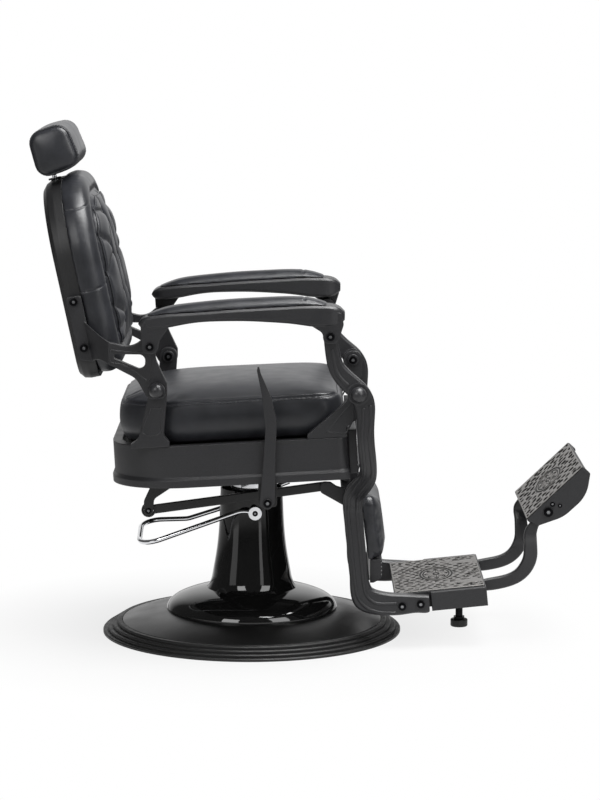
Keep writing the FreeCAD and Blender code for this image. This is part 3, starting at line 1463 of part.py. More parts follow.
def main():
    os.makedirs("parts", exist_ok=True)
    plate, rim, cover, bell, bolts = base_parts()
    save("base_plate", plate)
    save("base_rim", rim)
    save("base_cover", cover)
    save("bell_cover", bell)
    save("base_bolts", bolts)
    cylinder, gland, ram, piston, washer, plunger, trunnions = pump_parts()
    save("pump_cylinder", cylinder)
    save("gland_head", gland)
    save("ram", ram)
    save("piston", piston)
    save("thrust_washer", washer)
    save("pump_plunger", plunger)
    save("pedal_trunnions", trunnions)
    save("pump_pedal", pump_pedal())

    save("apron", apron())
    seat_plate, socket, rails, trim, board = seat_frame_parts()
    save("seat_plate", seat_plate)
    save("seat_socket", socket)
    save("frame_rail_right", rails[0])
    save("frame_rail_left", rails[1])
    save("front_trim", trim)
    save("seat_board", board)
    save("seat_cushion", seat_cushion())
    for name, piece in (("rear_post", rear_post()), ("front_post", front_post())):
        save(name + "_right", piece)
        save(name + "_left", mirrored(piece))
    pivots = [pivot_bolt(rear_pivot_x, rear_pivot_z, bracket_outer),
              pivot_bolt(front_pivot_x, front_pivot_z, leg_outer + boss_proud)]
    save("pivot_bolts", grouped(pivots + [mirrored(pivot) for pivot in pivots]))
    lever, bracket = lever_parts()
    save("recline_lever", lever)
    save("lever_bracket", bracket)
    shaft, tie = crank_and_ties()
    save("crank_shaft", shaft)
    save("tie_bar_right", tie)
    save("tie_bar_left", mirrored(tie))

    side = back_bracket()
    save("back_bracket_right", side)
    save("back_bracket_left", mirrored(side))
    save("back_shell", back_shell())
    save("back_cushion", back_cushion())
    save("tuft_buttons", tuft_buttons())
    save("back_bolts", back_fasteners())
    pad, rod, board, socket = headrest_parts()
    save("headrest_pad", pad)
    save("headrest_rod", rod)
    save("headrest_board", board)
    save("headrest_socket", socket)
    arm = arm_casting()
    pad = arm_pad(arm)
    save("arm_right", arm)
    save("arm_left", mirrored(arm))
    save("arm_pad_right", pad)
    save("arm_pad_left", mirrored(pad))

    right_leg = leg()
    save("leg_right", right_leg)
    save("leg_left", mirrored(right_leg))
    board, pad, tube = calf_parts()
    save("calf_board", board)
    save("calf_pad", pad)
    save("cross_tube", tube)
    save("kick_panel", kick_panel())
    save("footplate", footplate())
    save("footrest_arm_right", strap(-1))
    save("footrest_arm_left", strap(1))
    save("leg_bolts", leg_fasteners())
    save("footrest_tread", footrest_tread())
    save("footrest_roll", footrest_roll())
    screw, pad = anti_tip_foot()
    save("foot_screw", screw)
    save("foot_pad", pad)


main()
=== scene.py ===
import bpy
import itertools
import json
import math
import numpy as np
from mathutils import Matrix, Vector, kdtree, noise


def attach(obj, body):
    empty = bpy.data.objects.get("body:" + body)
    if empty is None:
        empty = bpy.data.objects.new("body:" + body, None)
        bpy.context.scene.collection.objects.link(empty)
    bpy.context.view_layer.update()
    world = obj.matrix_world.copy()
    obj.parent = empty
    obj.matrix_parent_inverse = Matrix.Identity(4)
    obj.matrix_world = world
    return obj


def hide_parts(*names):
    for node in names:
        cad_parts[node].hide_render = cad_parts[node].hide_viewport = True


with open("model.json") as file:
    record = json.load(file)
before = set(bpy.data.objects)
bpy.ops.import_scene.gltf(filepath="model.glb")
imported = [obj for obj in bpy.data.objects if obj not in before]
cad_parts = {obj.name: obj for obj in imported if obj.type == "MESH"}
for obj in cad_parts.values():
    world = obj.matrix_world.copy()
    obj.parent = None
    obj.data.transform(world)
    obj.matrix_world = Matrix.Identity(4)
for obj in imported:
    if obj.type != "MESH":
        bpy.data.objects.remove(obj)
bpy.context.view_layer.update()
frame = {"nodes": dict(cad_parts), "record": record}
nodes = frame["nodes"]
mm = 0.001
print("frame loaded with", len(nodes), "solids")


# small helpers

def setMode(mode):
    bpy.ops.object.mode_set(mode=mode)


def linked(name, data):
    piece = bpy.data.objects.new(name, data)
    bpy.context.scene.collection.objects.link(piece)
    return piece


def added(operator, **settings):
    bpy.ops.object.select_all(action="DESELECT")
    operator(**settings)
    return bpy.context.object


def activate(piece):
    if bpy.context.object and bpy.context.object.mode != "OBJECT":
        setMode("OBJECT")
    bpy.ops.object.select_all(action="DESELECT")
    piece.select_set(True)
    bpy.context.view_layer.objects.active = piece


def applyModifier(piece, kind, **settings):
    activate(piece)
    modifier = piece.modifiers.new(kind.title(), kind)
    for setting, value in settings.items():
        setattr(modifier, setting, value)
    bpy.ops.object.modifier_apply(modifier=modifier.name)


weldGap = 0.02 * mm


def copyOfNode(node, name):
    piece = linked(name, nodes[node].data.copy())
    piece.data.materials.clear()
    activate(piece)
    bpy.ops.mesh.customdata_custom_splitnormals_clear()
    setMode("EDIT")
    bpy.ops.mesh.select_all(action="SELECT")
    bpy.ops.mesh.remove_doubles(threshold=weldGap)
    setMode("OBJECT")
    return piece


def joined(name, pieces):
    activate(pieces[0])
    for piece in pieces[1:]:
        piece.select_set(True)
    if len(pieces) > 1:
        bpy.ops.object.join()
    pieces[0].name = name
    pieces[0].data.name = name
    return pieces[0]


def pointsOf(piece):
    points = np.empty(len(piece.data.vertices) * 3)
    piece.data.vertices.foreach_get("co", points)
    return points.reshape(-1, 3)


def normalsOf(piece):
    normals = np.empty(len(piece.data.vertices) * 3)
    piece.data.vertex_normals.foreach_get("vector", normals)
    return normals.reshape(-1, 3)


def setPoints(piece, points):
    piece.data.vertices.foreach_set("co", points.ravel())
    piece.data.update()


def smoothStep(low, high, values):
    share = np.clip((values - low) / (high - low), 0, 1)
    return share * share * (3 - 2 * share)


def nearTo(points, line):
    tree = kdtree.KDTree(len(line))
    for index, spot in enumerate(line):
        tree.insert(spot, index)
    tree.balance()
    return np.array([tree.find(point)[2] for point in points])


def roundedOutline(corners, spacing):
    # closed run of (a, b) points; each corner is a, b, radius
    run = []
    count = len(corners)
    for index, (a, b, radius) in enumerate(corners):
        corner = Vector((a, b))
        back = (Vector(corners[index - 1][:2]) - corner).normalized()
        ahead = (Vector(corners[(index + 1) % count][:2]) - corner).normalized()
        half = back.angle(ahead) / 2
        centre = corner + (back + ahead).normalized() * (radius / math.sin(half))
        start = corner + back * (radius / math.tan(half)) - centre
        turn = math.pi - 2 * half
        side = 1 if back.x * ahead.y - back.y * ahead.x < 0 else -1
        steps = max(int(radius * turn / spacing), 1)
        for step in range(steps + 1):
            angle = side * turn * step / steps
            run.append(centre + Vector((start.x * math.cos(angle) - start.y * math.sin(angle),
                                        start.x * math.sin(angle) + start.y * math.cos(angle))))
    filled = []
    for spot, after in zip(run, run[1:] + run[:1]):
        steps = max(int((after - spot).length / spacing), 1)
        filled += [spot.lerp(after, step / steps) for step in range(steps)]
    return filled


def smoothShaded(piece):
    piece.data.polygons.foreach_set("use_smooth", [True] * len(piece.data.polygons))
    return piece


def selectFaces(piece, wanted):
    # leaves the piece in edit mode, with the faces selected whose normals are wanted
    setMode("EDIT")
    bpy.ops.mesh.select_mode(type="FACE")
    bpy.ops.mesh.select_all(action="DESELECT")
    setMode("OBJECT")
    for face in piece.data.polygons:
        face.select = wanted(face.normal)
    setMode("EDIT")


def curveThrough(name, line, closed):
    curve = bpy.data.curves.new(name, "CURVE")
    curve.dimensions = "3D"
    run = curve.splines.new("POLY")
    run.points.add(len(line) - 1)
    run.points.foreach_set("co", [value for spot in line for value in (*spot, 1.0)])
    run.use_cyclic_u = closed
    return linked(name, curve)


def pipeAlong(name, line, radius, closed=False):
    path = curveThrough(name, line, closed)
    path.data.bevel_depth = radius
    path.data.bevel_resolution = 3
    path.data.use_fill_caps = True
    activate(path)
    bpy.ops.object.convert(target="MESH")
    return smoothShaded(bpy.context.object)


def laidOn(piece, line, lift):
    laid = []
    for spot in line:
        found, place, normal, index = piece.closest_point_on_mesh(Vector(spot))
        laid.append(place + normal * lift)
    return laid


sewing = {"sides": 6, "tip": 1.25, "taper": 0.4, "lift": 0.2 * mm}


def sewnRow(name, line, stitch):
    # one thread stitch, repeated along a closed line
    path = curveThrough(name + "Line", line, True)
    piece = added(bpy.ops.mesh.primitive_cylinder_add, vertices=sewing["sides"], radius=stitch["thick"] / 2,
                  depth=stitch["length"], rotation=(0, math.pi / 2, 0))
    bpy.ops.object.transform_apply(location=True, rotation=True, scale=True)
    selectFaces(piece, lambda normal: abs(normal.x) > 0.9)
    bpy.ops.mesh.extrude_faces_move()
    bpy.ops.transform.resize(value=(sewing["tip"], sewing["taper"], sewing["taper"]))
    setMode("OBJECT")
    piece.name = name
    applyModifier(piece, "ARRAY", fit_type="FIT_CURVE", curve=path, use_relative_offset=False,
                  use_constant_offset=True, constant_offset_displace=(stitch["pitch"], 0, 0))
    applyModifier(piece, "CURVE", object=path, deform_axis="POS_X")
    bpy.data.objects.remove(path)
    return smoothShaded(piece)


def dress(piece, material, body, stands=()):
    piece.data.materials.clear()
    piece.data.materials.append(material)
    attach(piece, body)
    if stands:
        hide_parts(*stands)


# materials

def linear(hexColour):
    shares = [int(hexColour[place:place + 2], 16) / 255 for place in (1, 3, 5)]
    return [s / 12.92 if s <= 0.04045 else ((s + 0.055) / 1.055) ** 2.4 for s in shares] + [1.0]


def addNode(tree, kind, settings=(), links=()):
    node = tree.nodes.new("ShaderNode" + kind)
    for name, value in dict(settings).items():
        if isinstance(name, int) or name in node.inputs:
            node.inputs[name].default_value = value
        else:
            setattr(node, name, value)
    for name, source in dict(links).items():
        tree.links.new(source, node.inputs[name])
    return node


def newMaterial(name, shaderValues):
    material = bpy.data.materials.new(name)
    material.use_nodes = True
    tree = material.node_tree
    shader = tree.nodes["Principled BSDF"]
    for socket, value in shaderValues.items():
        shader.inputs[socket].default_value = value
    place = addNode(tree, "TexCoord")
    return material, tree, shader, place.outputs["Object"]


def tint(tree, shader, factor, dark, light, span=(0.3, 0.7)):
    ramp = addNode(tree, "ValToRGB", links={"Fac": factor})
    for element, colour, position in zip(ramp.color_ramp.elements, (dark, light), span):
        element.color = linear(colour)
        element.position = position
    tree.links.new(ramp.outputs["Color"], shader.inputs["Base Color"])


def rangeOver(tree, value, span, levels):
    return addNode(tree, "MapRange", {"From Min": span[0], "From Max": span[1],
                                      "To Min": levels[0], "To Max": levels[1]},
                   {"Value": value}).outputs["Result"]


def spread(tree, shader, factor, rough):
    tree.links.new(rangeOver(tree, factor, (0.25, 0.75), rough), shader.inputs["Roughness"])


def bumped(tree, shader, height, depth, strength, under=None):
    bump = addNode(tree, "Bump", {"Distance": depth, "Strength": strength}, {"Height": height})
    if under:
        tree.links.new(under, bump.inputs["Normal"])
    tree.links.new(bump.outputs["Normal"], shader.inputs["Normal"])
    return bump.outputs["Normal"]


def scaleFor(size):
    # texture scale for features of a size in millimetres
    return 1000 / size


def noiseOf(tree, place, size, detail):
    return addNode(tree, "TexNoise", {"Scale": scaleFor(size), "Detail": detail}, {"Vector": place}).outputs["Fac"]


def leatherette():
    # embossed polyurethane leather: soft pebbled skin, satin sheen, faint creases
    look = {"dark": "#1e1f22", "light": "#26272b", "rough": (0.33, 0.41),
            "pebble": 2.2, "pebbleBump": (0.16 * mm, 0.3), "crease": 34, "creaseBump": (0.6 * mm, 0.2)}
    material, tree, shader, place = newMaterial("embossedPolyurethaneLeather", {"IOR": 1.48})
    pebble = addNode(tree, "TexVoronoi", {"Scale": scaleFor(look["pebble"]), "feature": "SMOOTH_F1"},
                     {"Vector": place})
    crease = noiseOf(tree, place, look["crease"], 4.0)
    tint(tree, shader, crease, look["dark"], look["light"])
    spread(tree, shader, crease, look["rough"])
    soft = bumped(tree, shader, crease, *look["creaseBump"])
    bumped(tree, shader, pebble.outputs["Distance"], *look["pebbleBump"], soft)
    return material


def powderCoat(name, dark, light, grit, rough):
    # baked powder coat or satin paint: fine sandy texture, soft highlights on rounded edges
    look = {"cloud": 60, "gritBump": (0.22 * mm, 0.5), "edge": 3.2 * mm}
    material, tree, shader, place = newMaterial(name, {"IOR": 1.5})
    grain = noiseOf(tree, place, grit, 3.0)
    cloud = noiseOf(tree, place, look["cloud"], 2.0)
    tint(tree, shader, grain, dark, light)
    spread(tree, shader, cloud, rough)
    edge = addNode(tree, "Bevel", {"Radius": look["edge"], "samples": 8})
    bumped(tree, shader, grain, *look["gritBump"], edge.outputs["Normal"])
    return material


def plainFinish(name, values, dark, light, rough, cloud, bump=None):
    # tone and gloss drift with a cloud of a size and detail; the bump has a depth and strength too
    material, tree, shader, place = newMaterial(name, values)
    tone = noiseOf(tree, place, *cloud)
    tint(tree, shader, tone, dark, light)
    spread(tree, shader, tone, rough)
    if bump:
        bumped(tree, shader, noiseOf(tree, place, *bump[:2]), *bump[2:])
    return material


def mouldedRubber():
    # moulded rubber rim: dull black with fine turned lines and a dusty bloom
    look = {"dark": "#070707", "light": "#0f0f0f", "rough": (0.42, 0.6),
            "bloom": 25, "line": 60, "lineBump": (0.3 * mm, 0.35)}
    material, tree, shader, place = newMaterial("mouldedBlackRubber", {"IOR": 1.5})
    bloom = noiseOf(tree, place, look["bloom"], 5.0)
    lines = addNode(tree, "TexWave", {"Scale": scaleFor(look["line"]), "wave_type": "RINGS",
                                      "rings_direction": "Z", "Distortion": 0.2}, {"Vector": place})
    tint(tree, shader, bloom, look["dark"], look["light"])
    spread(tree, shader, bloom, look["rough"])
    bumped(tree, shader, lines.outputs["Fac"], *look["lineBump"])
    return material


def wornTread():
    # cast aluminium tread, painted black and rubbed bare on the raised work; paint left in the hollows is dull
    look = {"dark": "#0a0a0a", "light": "#6c6a68", "rough": (0.38, 0.55), "bare": (0.62, 0.95),
            "sheen": (0.05, 0.5), "scuff": 7, "scuffShare": 0.35, "scuffBump": (0.15 * mm, 0.4)}
    material, tree, shader, place = newMaterial("rubbedCastAluminiumTread", {"Metallic": 0.35, "IOR": 1.5})
    height = addNode(tree, "Attribute", {"attribute_name": "relief"})
    scuff = noiseOf(tree, place, look["scuff"], 6.0)
    worn = addNode(tree, "Math", {"operation": "MULTIPLY_ADD", 1: look["scuffShare"]},
                   {0: scuff, 2: height.outputs["Fac"]})
    tint(tree, shader, worn.outputs["Value"], look["dark"], look["light"], look["bare"])
    sheen = rangeOver(tree, worn.outputs["Value"], look["bare"], look["sheen"])
    tree.links.new(sheen, shader.inputs["Specular IOR Level"])
    spread(tree, shader, scuff, look["rough"])
    bumped(tree, shader, scuff, *look["scuffBump"])
    return material


def gapShadePlywood():
    # birch plywood stained black, the black also a painted shade for the gap where the board shows under the seat
    # cushion; long grain still shows under the dull stain
    look = {"dark": "#0b0a0a", "light": "#171514", "grain": 40, "grainBump": (0.1 * mm, 0.2)}
    material, tree, shader, place = newMaterial("blackPlywoodStainAndGapShade", {"IOR": 1.5, "Roughness": 0.7})
    grain = addNode(tree, "TexWave", {"Scale": scaleFor(look["grain"]), "Distortion": 6.0, "Detail": 3.0},
                    {"Vector": place})
    tint(tree, shader, grain.outputs["Fac"], look["dark"], look["light"])
    bumped(tree, shader, grain.outputs["Fac"], *look["grainBump"])
    return material


def threadBlack():
    # twisted bonded polyester thread: dull black with a faint ply
    look = {"dark": "#1a1a1c", "light": "#2a2a2d", "ply": 2}
    material, tree, shader, place = newMaterial("bondedPolyesterThread", {"IOR": 1.5, "Roughness": 0.6})
    ply = addNode(tree, "TexWave", {"Scale": scaleFor(look["ply"])}, {"Vector": place})
    tint(tree, shader, ply.outputs["Fac"], look["dark"], look["light"])
    return material


skin = leatherette()
casting = powderCoat("powderCoatedCastAluminium", "#1b1b1d", "#252527", 1.8, (0.38, 0.46))
shellCoat = powderCoat("texturedBlackAbs", "#0f0f10", "#161617", 1.4, (0.42, 0.5))
steelCoat = powderCoat("satinBlackPaintedSteel", "#090909", "#101010", 4.0, (0.3, 0.4))
ballCoat = powderCoat("satinGreyPaintedSteel", "#1f1f21", "#2a2a2c", 2.0, (0.3, 0.38))
# stoved black enamel on spun steel: deep gloss with a slight orange peel; its black is lifted to a dark grey, a
# painted reflection of the white surroundings
enamel = plainFinish("stovedBlackEnamel", {"IOR": 1.52}, "#0c0c0c", "#121212", (0.035, 0.07), (80, 3.0),
                     (9, 1.0, 0.05 * mm, 0.25))
rubber = mouldedRubber()
# polished chrome plate: clean mirror with the faintest polishing haze
chrome = plainFinish("polishedChrome", {"Metallic": 1.0}, "#dcdde0", "#eeeff1", (0.04, 0.1), (18, 4.0))
# turned steel, bright or oxide black: fine irregular tool marks
toolMarks = ((3, 6.0), (3, 6.0, 0.08 * mm, 0.3))
steel = plainFinish("turnedSteel", {"Metallic": 1.0}, "#7d7e80", "#a3a4a6", (0.25, 0.4), *toolMarks)
boltSteel = plainFinish("blackOxideSteel", {"Metallic": 1.0}, "#131314", "#1d1d1f", (0.3, 0.42), *toolMarks)
tread = wornTread()
plywood = gapShadePlywood()
thread = threadBlack()

finishes = {
    "black_upholstery": skin, "black_casting": casting, "black_shell": shellCoat, "black_steel": steelCoat,
    "gloss_black_steel": enamel, "base_iron": steelCoat, "black_rubber": rubber, "tread_aluminium": casting,
    "bright_chrome": chrome, "plain_steel": steel, "dark_bolt": boltSteel, "plywood": plywood,
}
ownFinish = {"pivot_bolts": ballCoat, "foot_screw": boltSteel}
for part in frame["record"]["subparts"]:
    solid = nodes[part["node"]]
    solid.data.materials.clear()
    solid.data.materials.append(ownFinish.get(part["node"], finishes[part["material_slot"]]))
print("solids have their finishes")


# soft pieces

stuffing = {"relax": 3, "settle": 4, "pressure": 4.0, "quality": 4}


def puff(piece, pad, holds):
    # cloth swells the pad between what holds it: pairs of a mask of points and a weight
    start = pointsOf(piece)
    group = piece.vertex_groups.new(name="held")
    for mask, weight in holds:
        group.add(np.nonzero(mask)[0].tolist(), weight, "REPLACE")
    activate(piece)
    cloth = piece.modifiers.new("Cloth", "CLOTH")
    cloth.settings.vertex_group_mass = "held"
    cloth.settings.use_pressure = True
    cloth.settings.uniform_pressure_force = stuffing["pressure"]
    cloth.settings.effector_weights.gravity = 0
    cloth.settings.quality = stuffing["quality"]
    cloth.collision_settings.use_collision = False
    cloth.point_cache.frame_end = pad["frames"]
    for step in range(1, pad["frames"] + 1):
        bpy.context.scene.frame_set(step)
    bpy.ops.object.modifier_apply(modifier="Cloth")
    bpy.context.scene.frame_set(1)
    moved = pointsOf(piece) - start
    far = np.maximum(np.linalg.norm(moved, axis=1), 1e-9)
    setPoints(piece, start + moved * np.minimum(1, pad["cap"] / far)[:, None])
    piece.vertex_groups.clear()


def softCopy(name, pad, *sources):
    piece = joined(name, [copyOfNode(node, name) for node in sources])
    applyModifier(piece, "REMESH", mode="VOXEL", voxel_size=pad["voxel"])
    applyModifier(piece, "SMOOTH", factor=0.5, iterations=stuffing["relax"])
    applyModifier(piece, "DISPLACE", strength=-pad["shrink"], mid_level=0)
    return piece


def rounded(piece):
    applyModifier(piece, "SMOOTH", factor=0.5, iterations=stuffing["settle"])
    applyModifier(piece, "SUBSURF", levels=1, render_levels=1)
    smoothShaded(piece)


def creased(piece, line, depth, width, swell):
    # pulls the skin in along a seam and lets it swell on both sides
    swellPlace, swellWidth = 2.6 * width, 1.6 * width
    points = pointsOf(piece)
    away = nearTo(points, line)
    drawn = depth * np.exp(-(away / width) ** 2) - swell * np.exp(-((away - swellPlace) / swellWidth) ** 2)
    setPoints(piece, points - normalsOf(piece) * drawn[:, None])


# seat

seat = {"voxel": 6 * mm, "shrink": 3 * mm, "frames": 20, "cap": 12 * mm,
        "tuck": 4 * mm, "tuckHeight": 26 * mm, "frontFill": 5 * mm, "frontSpan": (120 * mm, 200 * mm),
        "tilt": math.radians(3.1), "datum": 374 * mm, "foot": 86.3 * mm, "footHold": 10 * mm,
        "seam": [(-270, -252, 136), (197, -252, 46.4), (197, 252, 46.4), (-270, 252, 136)],
        "seamRise": 178.3 * mm, "seamStep": 4 * mm, "seamHold": 5 * mm, "seamGrip": 0.85,
        "crease": {"depth": 3.4 * mm, "width": 3.4 * mm, "swell": 0.4 * mm},
        "stitch": {"length": 4.6 * mm, "pitch": 7.2 * mm, "thick": 1.5 * mm}, "stitchDrop": 7 * mm}
tiltC, tiltS = math.cos(seat["tilt"]), math.sin(seat["tilt"])


def onSeat(x, y, rise):
    return Vector((x * tiltC - rise * tiltS, y, seat["datum"] + x * tiltS + rise * tiltC))


def seatRise(points):
    return (points[:, 2] - seat["datum"]) * tiltC - points[:, 0] * tiltS


def makeSeat():
    piece = softCopy("seatCushion", seat, "seat_cushion")
    points = pointsOf(piece)
    tuck = 1 - smoothStep(seat["foot"], seat["foot"] + seat["tuckHeight"], seatRise(points))
    points += normalsOf(piece) * np.array([1, 1, 0]) * (tuck * seat["tuck"])[:, None]
    points[:, 0] += seat["frontFill"] * smoothStep(*seat["frontSpan"], points[:, 0])
    setPoints(piece, points)
    outline = roundedOutline([(a * mm, b * mm, r * mm) for a, b, r in seat["seam"]], seat["seamStep"])
    seam = [onSeat(spot.x, spot.y, seat["seamRise"]) for spot in outline]
    points = pointsOf(piece)
    atSeam = nearTo(points, seam) < seat["seamHold"]
    atFoot = seatRise(points) < seat["foot"] + seat["footHold"]
    puff(piece, seat, [(atSeam, seat["seamGrip"]), (atFoot, 1.0)])
    rounded(piece)
    laid = laidOn(piece, seam, 0)
    creased(piece, laid, **seat["crease"])
    lower = [spot - Vector((0, 0, seat["stitchDrop"])) for spot in laid]
    stitches = sewnRow("seatStitching", laidOn(piece, lower, sewing["lift"]), seat["stitch"])
    dress(piece, skin, "seat", ["seat_cushion"])
    dress(stitches, thread, "seat")


makeSeat()
print("seat cushion sewn")


# back

back = {"voxel": 5 * mm, "shrink": 2 * mm, "frames": 20, "cap": 5 * mm,
        "lean": math.radians(12), "foot": (-339 * mm, 588 * mm), "half": 232 * mm, "low": 12 * mm,
        "high": 421 * mm, "topRadius": 160 * mm, "bottomRadius": 50 * mm, "rearHold": 30 * mm,
        "frontFrom": 40 * mm, "seamInset": 42 * mm, "seamHold": (35 * mm, 47 * mm), "seamGrip": 0.95,
        "crossSeams": (194 * mm, 366 * mm), "crossDepth": 1.4 * mm, "crossWidth": 1.7 * mm,
        "crossSlope": 0.25, "crossMiddle": 20 * mm,
        "piping": 1.6 * mm, "pipingCorner": 12 * mm, "pipingStep": 5 * mm, "pipingLift": 0.8 * mm,
        "pipingAhead": 90 * mm}
tufts = {"inset": 43 * mm, "valley": 74 * mm, "rimSpan": (43 * mm, 56 * mm),
         "edge": 86 * mm, "crest": 99 * mm, "crestSpan": (46 * mm, 110 * mm),
         "puff": 4 * mm, "puffReach": 13 * mm, "puffSink": 0.6,
         "pleatDepth": 4 * mm, "pleatWidth": 4.5 * mm, "pleatPower": 1.3, "pleatHold": 5 * mm, "pleatGrip": 0.6,
         "foldInset": 44 * mm, "foldDepth": 1.6 * mm, "foldWidth": 3.0 * mm,
         "buttonDepth": 9 * mm, "buttonWidth": 11 * mm, "buttonPower": 1.5,
         "rows": [(104.9, (-92, 0, 92)), (180.9, (-46, 46)), (256.9, (-92, 0, 92)), (332.9, (-46, 46))],
         "pitch": (46 * mm, 76 * mm), "bottomRow": 110 * mm, "bottomFan": 1.12,
         "topRow": 330 * mm, "topFan": 1.3,
         "sidePleats": {(92, 104.9): [(190, 86), (190, 146)], (92, 256.9): [(190, 206), (190, 300)],
                        (46, 332.9): [(168, 348)]}}
border = {"probe": 0.5 * mm, "flush": 2 * mm, "swell": 5 * mm, "swellSpan": (20 * mm, 42 * mm),
          "sideInset": 14 * mm, "fullInset": 7 * mm, "sideDepth": 50 * mm,
          "lap": 5 * mm, "lapInset": 16 * mm, "lapSpan": (24 * mm, 36 * mm),
          "settle": 14, "settleInset": 34 * mm, "settleFrom": 24 * mm}
footX, footZ = back["foot"]
leanC, leanS = math.cos(back["lean"]), math.sin(back["lean"])
buttonSpots = [Vector((y * mm, up * mm)) for up, across in tufts["rows"] for y in across]


def onBack(forward, y, up):
    return Vector((footX + forward * leanC - up * leanS, y, footZ + forward * leanS + up * leanC))


def backPlaces(points):
    x, z = points[:, 0] - footX, points[:, 2] - footZ
    return x * leanC + z * leanS, points[:, 1], z * leanC - x * leanS


def fromBack(forward, y, up):
    return np.stack([footX + forward * leanC - up * leanS, y, footZ + forward * leanS + up * leanC], 1)


def backInset(y, up):
    # distance inside the cushion's rounded outline
    middle = (back["low"] + back["high"]) / 2
    tall = (back["high"] - back["low"]) / 2
    radius = np.where(up > middle, back["topRadius"], back["bottomRadius"])
    a = np.abs(y) - back["half"] + radius
    b = np.abs(up - middle) - tall + radius
    outside = np.hypot(np.maximum(a, 0), np.maximum(b, 0))
    return radius - outside - np.minimum(np.maximum(a, b), 0)


def pleatRuns():
    runs = []
    reach = math.hypot(*tufts["pitch"]) * 1.05
    for index, spot in enumerate(buttonSpots):
        for other in buttonSpots[index + 1:]:
            if (other - spot).length < reach and abs(other.y - spot.y) > 1 * mm:
                runs.append((spot, other))
    low, high = back["low"] + back["seamInset"], back["high"] - back["seamInset"]
    for spot in buttonSpots:
        if spot.y < tufts["bottomRow"]:
            runs.append((spot, Vector((spot.x * tufts["bottomFan"], low))))
        if spot.y > tufts["topRow"]:
            runs.append((spot, Vector((spot.x * tufts["topFan"], high))))
    for start, ends in tufts["sidePleats"].items():
        for hand in (-1, 1):
            for y, up in ends:
                runs.append((Vector((hand * start[0] * mm, start[1] * mm)), Vector((hand * y * mm, up * mm))))
    return runs


def awayFromRuns(y, up):
    best = np.full(len(y), 1.0)
    for start, end in pleatRuns():
        along = end - start
        share = np.clip(((y - start.x) * along.x + (up - start.y) * along.y) / along.length_squared, 0, 1)
        best = np.minimum(best, np.hypot(y - start.x - share * along.x, up - start.y - share * along.y))
    return best


def awayFromButtons(y, up):
    return np.min([np.hypot(y - spot.x, up - spot.y) for spot in buttonSpots], axis=0)


def tufted(forward, y, up):
    # diamond pillows between pleats, drawn down at the buttons
    inset = backInset(y, up)
    pleat = awayFromRuns(y, up)
    button = awayFromButtons(y, up)
    crown = tufts["edge"] + (tufts["crest"] - tufts["edge"]) * smoothStep(*tufts["crestSpan"], inset)
    pillow = crown + tufts["puff"] * (1 - np.exp(-pleat / tufts["puffReach"])) - tufts["puff"] * tufts["puffSink"]
    pillow -= tufts["pleatDepth"] * np.exp(-(pleat / tufts["pleatWidth"]) ** tufts["pleatPower"])
    pillow -= tufts["buttonDepth"] * np.exp(-(button / tufts["buttonWidth"]) ** tufts["buttonPower"])
    rim = smoothStep(*tufts["rimSpan"], inset)
    inner = (forward > back["frontFrom"]) & (inset > tufts["inset"])
    return np.where(inner, tufts["valley"] * (1 - rim) + pillow * rim, forward)


def filledBorder(forward, y, up):
    # the roll of the border meets the shell flush and laps a little over its edge
    probe = border["probe"]
    inset = backInset(y, up)
    outY = (backInset(y - probe, up) - backInset(y + probe, up)) / (2 * probe)
    outUp = (backInset(y, up - probe) - backInset(y, up + probe)) / (2 * probe)
    wanted = -border["flush"] - border["swell"] * smoothStep(*border["swellSpan"], forward)
    side = (inset < border["sideInset"]) & (forward < border["sideDepth"])
    share = smoothStep(border["sideInset"], border["fullInset"], inset)
    push = np.where(side, np.maximum(inset - wanted, 0) * share, 0)
    lap = border["lap"] * (1 - smoothStep(*border["lapSpan"], forward))
    lap = np.where(inset < border["lapInset"], lap, 0)
    return forward - lap, y + outY * push, up + outUp * push


